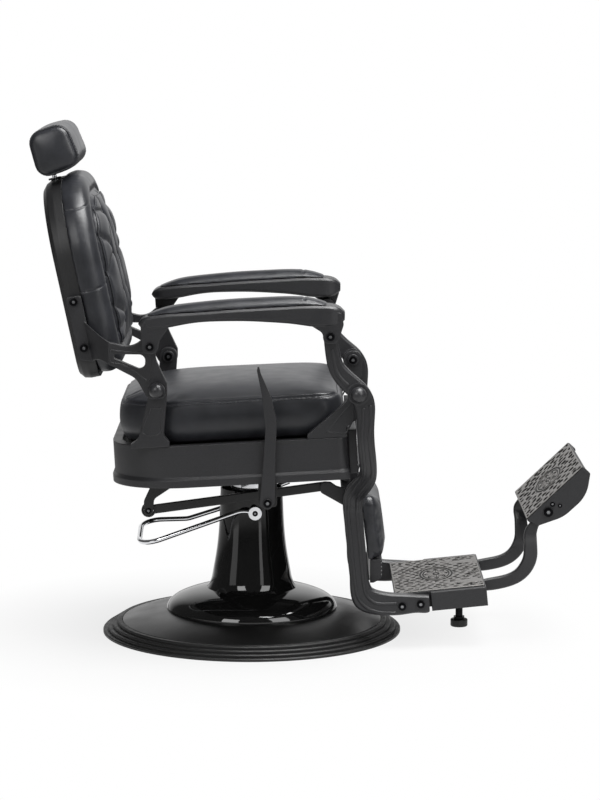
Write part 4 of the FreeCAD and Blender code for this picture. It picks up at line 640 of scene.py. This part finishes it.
def makeBack():
    piece = softCopy("backCushion", back, "back_cushion")
    forward, y, up = filledBorder(*backPlaces(pointsOf(piece)))
    forward = tufted(forward, y, up)
    setPoints(piece, fromBack(forward, y, up))
    inset = backInset(y, up)
    front = forward > back["frontFrom"]
    inside = front & (inset > tufts["inset"])
    atPleat = inside & (awayFromRuns(y, up) < tufts["pleatHold"])
    atSeam = front & (inset > back["seamHold"][0]) & (inset < back["seamHold"][1])
    atButton = inside & (awayFromButtons(y, up) < tufts["buttonWidth"])
    atRear = forward < back["rearHold"]
    puff(piece, back, [(atPleat, tufts["pleatGrip"]), (atSeam, back["seamGrip"]), (atButton, 1.0),
                       (atRear, 1.0)])
    forward, y, up = backPlaces(pointsOf(piece))
    outer = (backInset(y, up) < border["settleInset"]) & (forward > border["settleFrom"])
    group = piece.vertex_groups.new(name="border")
    group.add(np.nonzero(outer)[0].tolist(), 1.0, "REPLACE")
    applyModifier(piece, "SMOOTH", factor=0.5, iterations=border["settle"], vertex_group="border")
    rounded(piece)
    points = pointsOf(piece)
    forward, y, up = backPlaces(points)
    inset = backInset(y, up)
    inside = (forward > back["frontFrom"]) & (inset > tufts["foldInset"])
    fold = tufts["foldDepth"] * np.exp(-(awayFromRuns(y, up) / tufts["foldWidth"]) ** 2)
    fold = np.where(inside, fold, 0)
    level = up - back["crossSlope"] * (inset - back["crossMiddle"])
    seam = sum(np.exp(-((level - rise) / back["crossWidth"]) ** 2) for rise in back["crossSeams"])
    seam = np.where(inset < tufts["foldInset"], back["crossDepth"], 0) * seam
    setPoints(piece, points - normalsOf(piece) * (fold + seam)[:, None])
    dress(piece, skin, "back", ["back_cushion"])

    inset = back["seamInset"]
    side, low, high = back["half"] - inset, back["low"] + inset, back["high"] - inset
    corners = [(-side, low, back["pipingCorner"]), (side, low, back["pipingCorner"]),
               (side, high, back["topRadius"] - inset), (-side, high, back["topRadius"] - inset)]
    outline = roundedOutline(corners, back["pipingStep"])
    line = [onBack(back["pipingAhead"], spot.x, spot.y) for spot in outline]
    welt = pipeAlong("backWelt", laidOn(piece, line, back["pipingLift"]), back["piping"], closed=True)
    dress(welt, skin, "back")
    return piece


button = {"radius": 9 * mm, "segments": 24, "rings": 12, "cut": 1 * mm, "skirt": 5 * mm, "taper": 0.8,
          "flat": 0.55, "ahead": 86 * mm, "lift": 0.5 * mm}


def coveredButton():
    # flattened dome with a tapered skirt that goes into the cushion
    piece = added(bpy.ops.mesh.primitive_uv_sphere_add, segments=button["segments"], ring_count=button["rings"],
                  radius=button["radius"])
    setMode("EDIT")
    bpy.ops.mesh.select_all(action="SELECT")
    bpy.ops.mesh.bisect(plane_co=(0, 0, button["cut"]), plane_no=(0, 0, 1), clear_inner=True)
    bpy.ops.mesh.extrude_edges_move(TRANSFORM_OT_translate={"value": (0, 0, -button["skirt"])})
    bpy.ops.transform.resize(value=(button["taper"], button["taper"], 1))
    bpy.ops.mesh.edge_face_add()
    bpy.ops.mesh.select_all(action="SELECT")
    bpy.ops.transform.resize(value=(1, 1, button["flat"]), center_override=(0, 0, 0))
    bpy.ops.mesh.normals_make_consistent(inside=False)
    setMode("OBJECT")
    return piece


def makeButtons(cushion):
    first = coveredButton()
    buttons = []
    for spot in buttonSpots:
        place = laidOn(cushion, [onBack(button["ahead"], spot.x, spot.y)], 0)[0]
        forward = backPlaces(np.array([place]))[0][0]
        copy = linked("button", first.data.copy())
        activate(copy)
        copy.rotation_euler = (0, math.pi / 2 - back["lean"], 0)
        copy.location = onBack(forward + button["lift"], spot.x, spot.y)
        bpy.ops.object.transform_apply(location=True, rotation=True, scale=True)
        buttons.append(copy)
    bpy.data.objects.remove(first)
    piece = smoothShaded(joined("tuftButtons", buttons))
    dress(piece, skin, "back", ["tuft_buttons"])


makeButtons(makeBack())
print("back cushion tufted")


# headrest

headrest = {"voxel": 4 * mm, "shrink": -1.5 * mm, "frames": 20, "cap": 6 * mm,
            "half": 130 * mm, "section": [(-22, 432, 26), (75, 448, 26), (57, 542, 28), (-28, 532, 28)],
            "sectionStep": 3 * mm, "seamIn": 6 * mm, "seamSize": 0.93, "seamHold": 4 * mm, "seamGrip": 0.95,
            "dome": 5 * mm, "domeIn": (8 * mm, 5 * mm), "middle": (20 * mm, 489 * mm),
            "reach": (44 * mm, 46 * mm), "welt": 1.7 * mm, "weltLift": 0.6 * mm,
            "rowIn": 12 * mm, "rowSize": 0.985,
            "stitch": {"length": 4.2 * mm, "pitch": 6.4 * mm, "thick": 1.6 * mm}}


def headrestLines(inward, size):
    # the section's outline at both ends, this far in from the end and scaled
    corners = headrest["section"]
    middle = [sum(corner[axis] for corner in corners) / 4 for axis in (0, 1)]
    scaled = [((middle[0] + (a - middle[0]) * size) * mm, (middle[1] + (b - middle[1]) * size) * mm,
               r * size * mm) for a, b, r in corners]
    outline = roundedOutline(scaled, headrest["sectionStep"])
    return [[onBack(spot.x, side * (headrest["half"] - inward), spot.y) for spot in outline] for side in (-1, 1)]


def makeHeadrest():
    piece = softCopy("headrestPad", headrest, "headrest_pad")
    seams = headrestLines(headrest["seamIn"], headrest["seamSize"])
    atSeam = nearTo(pointsOf(piece), seams[0] + seams[1]) < headrest["seamHold"]
    puff(piece, headrest, [(atSeam, headrest["seamGrip"])])
    rounded(piece)
    points = pointsOf(piece)
    forward, y, up = backPlaces(points)
    middle, reach = headrest["middle"], headrest["reach"]
    swell = (np.clip(1 - ((forward - middle[0]) / reach[0]) ** 2, 0, 1)
             * np.clip(1 - ((up - middle[1]) / reach[1]) ** 2, 0, 1))
    start, full = (headrest["half"] - inward for inward in headrest["domeIn"])
    points[:, 1] += np.sign(y) * headrest["dome"] * swell * smoothStep(start, full, np.abs(y))
    setPoints(piece, points)
    dress(piece, skin, "headrest", ["headrest_pad"])
    welts = [pipeAlong("headrestWelt", laidOn(piece, seam, headrest["weltLift"]), headrest["welt"], closed=True)
             for seam in seams]
    dress(joined("headrestWelts", welts), skin, "headrest")
    rows = [sewnRow("headrestStitching", laidOn(piece, line, sewing["lift"]), headrest["stitch"])
            for line in headrestLines(headrest["rowIn"], headrest["rowSize"])]
    dress(joined("headrestStitching", rows), thread, "headrest")


makeHeadrest()
print("headrest piped")


# arm pads, calf pad and footrest roll

armPad = {"voxel": 3 * mm, "shrink": 1 * mm, "frames": 16, "cap": 5 * mm, "heldBelow": 0.15,
          "seam": 118 * mm, "seamAcross": range(255, 340, 2), "seamAbove": 0.8,
          "crease": {"depth": 1.2 * mm, "width": 2.2 * mm, "swell": 0.3 * mm}}
calfPad = {"voxel": 4 * mm, "shrink": 1.5 * mm, "frames": 16, "cap": 6 * mm, "heldBehind": -0.3,
           "wrap": 6 * mm, "wrapSpan": (105 * mm, 135 * mm), "wrapBehind": 0.2}
roll = {"voxel": 4 * mm, "shrink": 1.5 * mm, "frames": 16, "cap": 5 * mm, "heldAbove": 0.5}


def makePad(name, pad, body, held, fill, *sources):
    piece = softCopy(name, pad, *sources)
    puff(piece, pad, [(held(normalsOf(piece)), 1.0)])
    rounded(piece)
    dress(piece, skin, body, sources)
    return piece


def makeArmPad(name, side):
    piece = makePad("armPad" + name, armPad, "arm_" + name.lower(),
                    lambda normals: normals[:, 2] < armPad["heldBelow"], 0.9, "arm_pad_" + name.lower())
    across = [Vector((armPad["seam"], side * y * mm, armPad["seamAbove"])) for y in armPad["seamAcross"]]
    creased(piece, laidOn(piece, across, 0), **armPad["crease"])


def makeCalfPad():
    # the cover wraps back round the sides of the board
    piece = makePad("calfPad", calfPad, "leg", lambda normals: normals[:, 0] < calfPad["heldBehind"], 0.8,
                    "calf_pad", "calf_board")
    points = pointsOf(piece)
    rear = normalsOf(piece)[:, 0] < calfPad["wrapBehind"]
    points[:, 0] -= calfPad["wrap"] * (smoothStep(*calfPad["wrapSpan"], np.abs(points[:, 1])) * rear)
    setPoints(piece, points)


makeArmPad("Right", -1)
makeArmPad("Left", 1)
makeCalfPad()
makePad("footrestRoll", roll, "footrest", lambda normals: normals[:, 2] > roll["heldAbove"], 0.8, "footrest_roll")
print("arm pads, calf pad and footrest roll stuffed")


# cast relief of the two tread plates

relief = {"step": 1.4 * mm, "height": 2.4 * mm, "lift": 0.15 * mm, "groundIn": (3.0, 4.5), "rimFall": (0.0, 1.2)}
ground = {"seed": 7, "sample": (1.7, 2.3, 5.1), "wander": 0.5, "turn": 0.9, "drift": 0.5, "driftRun": (41.0, 37.0),
          "stretch": 0.6, "bow": 0.09, "edge": (0.75, 1.15)}
noise.seed_set(ground["seed"])
flower = {"oval": (38.0, 74.0), "rings": [(0.93, 0.06), (0.76, 0.04), (0.15, 0.05)],
          "petal": (0.34, 0.3), "petalLine": 0.055, "raysFrom": 0.22, "raysGap": 0.09, "rayWidth": 0.3,
          "land": (1.0, 1.06)}
footplate = {"start": (311 * mm, 112.5 * mm), "slope": math.radians(5.7), "length": 199 * mm, "margin": 2 * mm,
             "half": 171 * mm, "spacing": (18.0, 17.0), "size": (6.8, 6.0),
             "strap": 110.0, "tongueFrom": 95.0, "tongueRun": 104.0, "tongueHalf": 19.0, "tongueEdge": 1.5}
upperTread = {"start": (596 * mm, 277 * mm), "slope": math.radians(43.5), "length": 167 * mm, "margin": 1 * mm,
              "half": 171 * mm, "spacing": (20.0, 25.0), "size": (7.0, 9.5)}


def grains(a, y, spacing, size):
    # lens-shaped hollows of a cast anti-slip ground that drift round the middle, in millimetres
    hollow = np.zeros(len(a))
    sampleA, sampleY, layer = ground["sample"]
    runY, runA = ground["driftRun"]
    for row in range(-1, int(a.max() / spacing[0]) + 2):
        for column in range(int(y.min() / spacing[1]) - 1, int(y.max() / spacing[1]) + 2):
            wander = noise.noise_vector(Vector((row * sampleA, column * sampleY, layer)))
            middleA = (row + 0.5 * (column % 2) + ground["wander"] * wander.x) * spacing[0]
            middleY = (column + ground["wander"] * wander.y) * spacing[1]
            drift = ground["drift"] * math.sin(middleY / runY) * math.cos(middleA / runA)
            turn = ground["turn"] * wander.z + drift
            length = size[1] * (1 + ground["stretch"] * wander.x)
            c, s = math.cos(turn), math.sin(turn)
            across = (a - middleA) * c + (y - middleY) * s
            bow = ground["bow"] * across ** 2 * math.copysign(1, wander.y)
            along = (y - middleY) * c - (a - middleA) * s + bow
            lens = np.hypot(across / size[0], along / length)
            hollow = np.maximum(hollow, 1 - smoothStep(*ground["edge"], lens))
    return hollow


def rosette(a, y):
    # eight plain petals inside a double oval line; gives the hollows and the land that hides the ground
    outA, outY = a / flower["oval"][0], y / flower["oval"][1]
    far = np.hypot(outA, outY)
    turn = 4 * np.arctan2(outY, outA)
    petal = flower["petal"][0] + flower["petal"][1] * np.abs(np.cos(turn))
    lines = flower["rings"] + [(petal, flower["petalLine"])]
    hollow = np.max([np.exp(-((far - place) / width) ** 2) for place, width in lines], axis=0)
    rays = (far > flower["raysFrom"]) & (far < petal - flower["raysGap"])
    rays &= np.abs(np.sin(turn)) < flower["rayWidth"]
    return np.maximum(hollow, rays), 1 - smoothStep(*flower["land"], far)


def onSlope(plate, along, y, rise):
    c, s = math.cos(plate["slope"]), math.sin(plate["slope"])
    x, z = plate["start"]
    return np.stack([x + along * c - rise * s, y, z + along * s + rise * c], 1)


def strapTongue(a, y):
    # smooth tapered land where a strap arm runs into the plate
    edge = footplate["tongueEdge"]
    reach = np.maximum(a - footplate["tongueFrom"], 0) / footplate["tongueRun"]
    away = np.abs(np.abs(y) - footplate["strap"]) - footplate["tongueHalf"] * reach
    return 1 - smoothStep(0.0, edge, away + edge * (reach == 0))


def treadRelief(name, plate, smoothLand):
    length, half = plate["length"] - plate["margin"], plate["half"]
    piece = added(bpy.ops.mesh.primitive_grid_add, x_subdivisions=int(length / relief["step"]),
                  y_subdivisions=int(2 * half / relief["step"]), size=1)
    piece.name = name
    points = pointsOf(piece)
    a = (points[:, 0] + 0.5) * length / mm
    y = points[:, 1] * 2 * half / mm
    hollow, land = rosette(a - 0.5 * length / mm, y)
    rim = np.minimum(np.minimum(a, length / mm - a), half / mm - np.abs(y))
    pitted = grains(a, y, plate["spacing"], plate["size"]) * (1 - land) * (1 - smoothLand(a, y))
    heights = 1 - np.maximum(pitted * smoothStep(*relief["groundIn"], rim), hollow * land)
    heights *= smoothStep(*relief["rimFall"], rim)
    setPoints(piece, onSlope(plate, a * mm, y * mm, relief["lift"] + heights * relief["height"]))
    layer = piece.data.attributes.new("relief", "FLOAT", "POINT")
    layer.data.foreach_set("value", heights)
    return smoothShaded(piece)


dress(treadRelief("footplateRelief", footplate, strapTongue), tread, "leg")
dress(treadRelief("footrestRelief", upperTread, lambda a, y: 0 * a), tread, "footrest")
print("tread plates have their relief")


# beads and panels on the castings

# rays at the chair's sides start this far out, in metres
outside = 0.6
beads = {"radius": 4.6 * mm, "panelRadius": 2.0 * mm, "sunk": 0.52, "steps": 8, "panelSteps": 5, "facing": 0.5,
         "legRear": [(239.6, 540), (238, 508), (237, 480), (239, 455), (243, 409), (240, 384), (226, 357),
                     (213, 335), (210.5, 312), (211.4, 283.5), (218.9, 208.3), (225.7, 141.3), (234, 107.7),
                     (253.9, 87.5), (277, 79.1), (300, 77.3), (314, 77.4)],
         "legFront": [(254, 546), (255, 508), (252, 480), (254, 455), (259.5, 409), (257, 382), (243, 356),
                      (231, 335), (229, 312), (230.3, 283.5), (237, 208.3), (243.8, 141.3), (250.5, 116.1),
                      (263.7, 102.6), (276.9, 97.6), (300, 97.5), (314, 98.4)],
         "legUpper": [(173.7, 664.7), (177.5, 642.1), (182.3, 621), (191.3, 604.8), (207.4, 588.6)],
         "bracket": [(-291, 662), (-257, 658), (-222, 657), (-209, 652), (-206.6, 634), (-206.6, 606),
                     (-209, 599), (-216, 598), (-240, 617), (-266, 631), (-291, 637)],
         "rearPost": [(-206, 536), (-190, 536), (-187, 531), (-189.4, 483), (-226, 483), (-211, 529)],
         "frontPost": [(163, 485), (212, 486.5), (219, 529), (212, 543)]}
# node without its side, run, body that carries it, and whether the run closes round a panel
beadRuns = [("leg_", "legRear", "leg", False), ("leg_", "legFront", "leg", False),
            ("leg_", "legUpper", "leg", False), ("back_bracket_", "bracket", "back", True),
            ("rear_post_", "rearPost", "seat", True), ("front_post_", "frontPost", "seat", True)]


def smoothLine(spots, steps):
    # rounded run through the spots
    line = []
    last = len(spots) - 1
    for index in range(last):
        p0, p1 = Vector(spots[max(index - 1, 0)]), Vector(spots[index])
        p2, p3 = Vector(spots[index + 1]), Vector(spots[min(index + 2, last)])
        for step in range(steps):
            t = step / steps
            line.append(0.5 * (2 * p1 + (p2 - p0) * t + (2 * p0 - 5 * p1 + 4 * p2 - p3) * t ** 2
                               + (3 * p1 - p0 - 3 * p2 + p3) * t ** 3))
    line.append(Vector(spots[last]))
    return line


def onSide(node, line, side, lift):
    # drops a side-view line onto the outer face of a casting
    laid = []
    for spot in line:
        origin = Vector((spot.x * mm, side * outside, spot.y * mm))
        hit, place, normal, index = nodes[node].ray_cast(origin, Vector((0, -side, 0)))
        if hit and abs(normal.y) > beads["facing"]:
            laid.append(place + Vector((0, side * lift, 0)))
    return laid


def addBeads():
    for name, side in (("right", -1), ("left", 1)):
        made = {}
        for node, run, body, panel in beadRuns:
            radius = beads["panelRadius" if panel else "radius"]
            spots = beads[run] + beads[run][:1] if panel else beads[run]
            smooth = smoothLine(spots, beads["panelSteps" if panel else "steps"])
            line = onSide(node + name, smooth, side, -beads["sunk"] * radius)
            made.setdefault(body, []).append(pipeAlong(run + "Bead", line, radius))
        for body, pieces in made.items():
            dress(joined(body + "Beads" + name.title(), pieces), casting, body)


addBeads()
print("castings have their beads")


# screw heads

screws = {"sides": 36, "rise": 2.6 * mm, "chamfer": 0.22, "dome": 0.6 * mm, "socket": 0.45, "sink": 1.6 * mm,
          "lift": 0.4 * mm, "sharp": math.radians(35)}
# body, node, seen from outside, from between the sides or at the right only; x, z and radius in millimetres
screwSpots = [("leg", "leg_bolts", "outer", [(170, 693, 8.2), (327, 92.5, 8.2), (367, 97.5, 8.2), (642, 294, 9.6)]),
              ("footrest", "footrest_tread", "outer", [(667, 308, 4.5), (651, 311, 5.5)]),
              ("back", "back_bolts", "outer", [(-207, 672, 8.2), (-350.1, 659.3, 8.2), (-370.9, 757.1, 8.2)]),
              ("seat", "pivot_bolts", "inner", [(-193, 578, 9.0), (229, 570, 9.0)]),
              ("seat", "lever_bracket", "right", [(38, 336, 8.6)]),
              ("crank", "crank_shaft", "outer", [(-220, 297, 6.5)]),
              ("base", "pedal_trunnions", "outer", [(9, 276, 6.0)])]


def screwHead(x, y, z, radius, side):
    # button head with a hexagon socket
    head = added(bpy.ops.mesh.primitive_cylinder_add, vertices=screws["sides"], radius=radius, depth=screws["rise"])
    selectFaces(head, lambda normal: normal.z > 0.9)
    bpy.ops.mesh.inset(thickness=screws["chamfer"] * radius)
    bpy.ops.transform.translate(value=(0, 0, screws["dome"]))
    bpy.ops.mesh.inset(thickness=(1 - screws["chamfer"] - screws["socket"]) * radius)
    setMode("OBJECT")
    flat = screws["socket"] * radius * math.cos(math.pi / 6)
    for face in head.data.polygons:
        if face.select:
            for index in face.vertices:
                spot = head.data.vertices[index].co
                turn = math.atan2(spot.y, spot.x) % (math.pi / 3) - math.pi / 6
                scale = flat / math.cos(turn) / math.hypot(spot.x, spot.y)
                spot.x *= scale
                spot.y *= scale
    setMode("EDIT")
    bpy.ops.mesh.extrude_faces_move(TRANSFORM_OT_shrink_fatten={"value": -screws["sink"]})
    setMode("OBJECT")
    sockets = [face.index for face in head.data.polygons if face.select]
    head.rotation_euler = (-side * math.pi / 2, 0, 0)
    head.location = (x, y, z)
    bpy.ops.object.transform_apply(location=True, rotation=True, scale=True)
    head.data.materials.append(boltSteel)
    head.data.materials.append(steel)
    for index in sockets:
        head.data.polygons[index].material_index = 1
    return head


def addScrews():
    made = {}
    for body, node, seen, spots in screwSpots:
        sides = (-1,) if seen == "right" else (-1, 1)
        for (x, z, radius), side in itertools.product(spots, sides):
            hand = -side if seen == "inner" else side
            start = Vector((x * mm, 0.0 if seen == "inner" else side * outside, z * mm))
            hit, place, normal, index = nodes[node].ray_cast(start, Vector((0, -hand, 0)))
            if hit:
                head = screwHead(x * mm, place.y + hand * screws["lift"], z * mm, radius * mm, hand)
                made.setdefault(body, []).append(head)
    for body, heads in made.items():
        piece = joined(body + "ScrewHeads", heads)
        activate(piece)
        bpy.ops.object.shade_smooth_by_angle(angle=screws["sharp"])
        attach(piece, body)


addScrews()
print("screw heads set")


# studio; softboxes have a place, the height they are aimed at and a size in metres, and a power in watts

softboxes = {"topSoftbox": ((0.8, -0.4, 3.0), 0.8, (2.0, 1.4), 130),
             "rightSoftbox": ((2.1, -2.3, 2.3), 0.8, (1.5, 1.8), 42),
             "leftSoftbox": ((-1.7, -2.9, 2.3), 0.8, (1.4, 1.4), 37),
             "leftStrip": ((-2.6, -1.8, 0.62), 0.62, (1.1, 1.2), 3.7),
             "rightStrip": ((1.6, -2.7, 0.62), 0.62, (0.55, 1.2), 2.9)}
room = {"diffuse": 0.2, "mirrorSpan": (0.7, 0.93), "mirrorLevels": (0.1, 1.0), "white": "#ffffff"}
sweep = {"size": 60, "cells": 8, "paint": "#bcbcbc", "shadow": 0.22, "shadowSpan": (0.3, 0.75),
         "mirrorSpan": (1.0, 1.7)}
photo = {"lens": 133.56, "sensor": 36, "farthest": 400, "place": (0.0930, -6.4735, 1.4226),
         "down": 7.991, "turn": -0.125}


def addSoftbox(name, place, aimHeight, size, power):
    lamp = bpy.data.lights.new(name, "AREA")
    lamp.shape = "RECTANGLE"
    lamp.size, lamp.size_y = size
    lamp.energy = power
    softbox = linked(name, lamp)
    softbox.location = place
    softbox.rotation_euler = (Vector((0, 0, aimHeight)) - Vector(place)).to_track_quat("-Z", "Y").to_euler()


def viewers(tree):
    # which rays come from the camera, and which from a mirror or a clear surface
    ray = addNode(tree, "LightPath")
    mirror = addNode(tree, "Math", {"operation": "MAXIMUM"},
                     {0: ray.outputs["Is Glossy Ray"], 1: ray.outputs["Is Transmission Ray"]})
    return ray.outputs["Is Camera Ray"], mirror.outputs["Value"]


def addRoom():
    # white to the camera, dim to the surfaces, and to mirrors bright on the far side only
    world = bpy.data.worlds.new("studio")
    bpy.context.scene.world = world
    world.use_nodes = True
    tree = world.node_tree
    tree.nodes.clear()
    camera, mirror = viewers(tree)
    place = addNode(tree, "TexCoord")
    axes = addNode(tree, "SeparateXYZ", links={"Vector": place.outputs["Generated"]})
    behind = rangeOver(tree, axes.outputs["Y"], room["mirrorSpan"], room["mirrorLevels"])
    base = addNode(tree, "Mix", {"A": room["diffuse"]}, {"Factor": mirror, "B": behind})
    level = addNode(tree, "Mix", {"B": 1.0}, {"Factor": camera, "A": base.outputs["Result"]})
    sky = addNode(tree, "Background", {"Color": linear(room["white"])}, {"Strength": level.outputs["Result"]})
    addNode(tree, "OutputWorld", links={"Surface": sky.outputs["Background"]})


def addFloor():
    # white sweep that keeps the chair's shadow; mirrors see it white near the chair and plain further out
    floor = added(bpy.ops.mesh.primitive_grid_add, x_subdivisions=sweep["cells"], y_subdivisions=sweep["cells"],
                  size=sweep["size"])
    floor.name = "floor"
    material = bpy.data.materials.new("paleStudioFloor")
    material.use_nodes = True
    tree = material.node_tree
    tree.nodes.clear()
    camera, mirror = viewers(tree)
    place = addNode(tree, "TexCoord")
    far = addNode(tree, "VectorMath", {"operation": "LENGTH"}, {0: place.outputs["Object"]}).outputs["Value"]
    fade = rangeOver(tree, far, sweep["shadowSpan"], (sweep["shadow"], 0.0))
    close = rangeOver(tree, far, sweep["mirrorSpan"], (1.0, 0.0))
    mirrored = addNode(tree, "Math", {"operation": "MULTIPLY"}, {0: mirror, 1: close})
    seen = addNode(tree, "Math", {"operation": "MAXIMUM"}, {0: camera, 1: mirrored.outputs["Value"]})
    paint = addNode(tree, "BsdfDiffuse", {"Color": linear(sweep["paint"])}).outputs["BSDF"]
    glow = addNode(tree, "Emission", {"Color": linear(room["white"]), "Strength": 1.0}).outputs["Emission"]
    white = addNode(tree, "MixShader", links={0: fade, 1: glow, 2: paint})
    whole = addNode(tree, "MixShader", links={0: seen.outputs["Value"], 1: paint, 2: white.outputs["Shader"]})
    addNode(tree, "OutputMaterial", links={"Surface": whole.outputs["Shader"]})
    floor.data.materials.append(material)


def addCamera():
    # solved from the photo's perspective
    camera = bpy.data.cameras.new("photoCamera")
    camera.lens = photo["lens"]
    camera.sensor_width = photo["sensor"]
    camera.clip_end = photo["farthest"]
    eye = linked("photoCamera", camera)
    eye.location = photo["place"]
    eye.rotation_euler = (math.radians(90 - photo["down"]), 0, math.radians(photo["turn"]))
    bpy.context.scene.camera = eye
    bpy.context.scene.view_settings.view_transform = "Standard"


for name, values in softboxes.items():
    addSoftbox(name, *values)
addRoom()
addFloor()
addCamera()
print("studio lit")
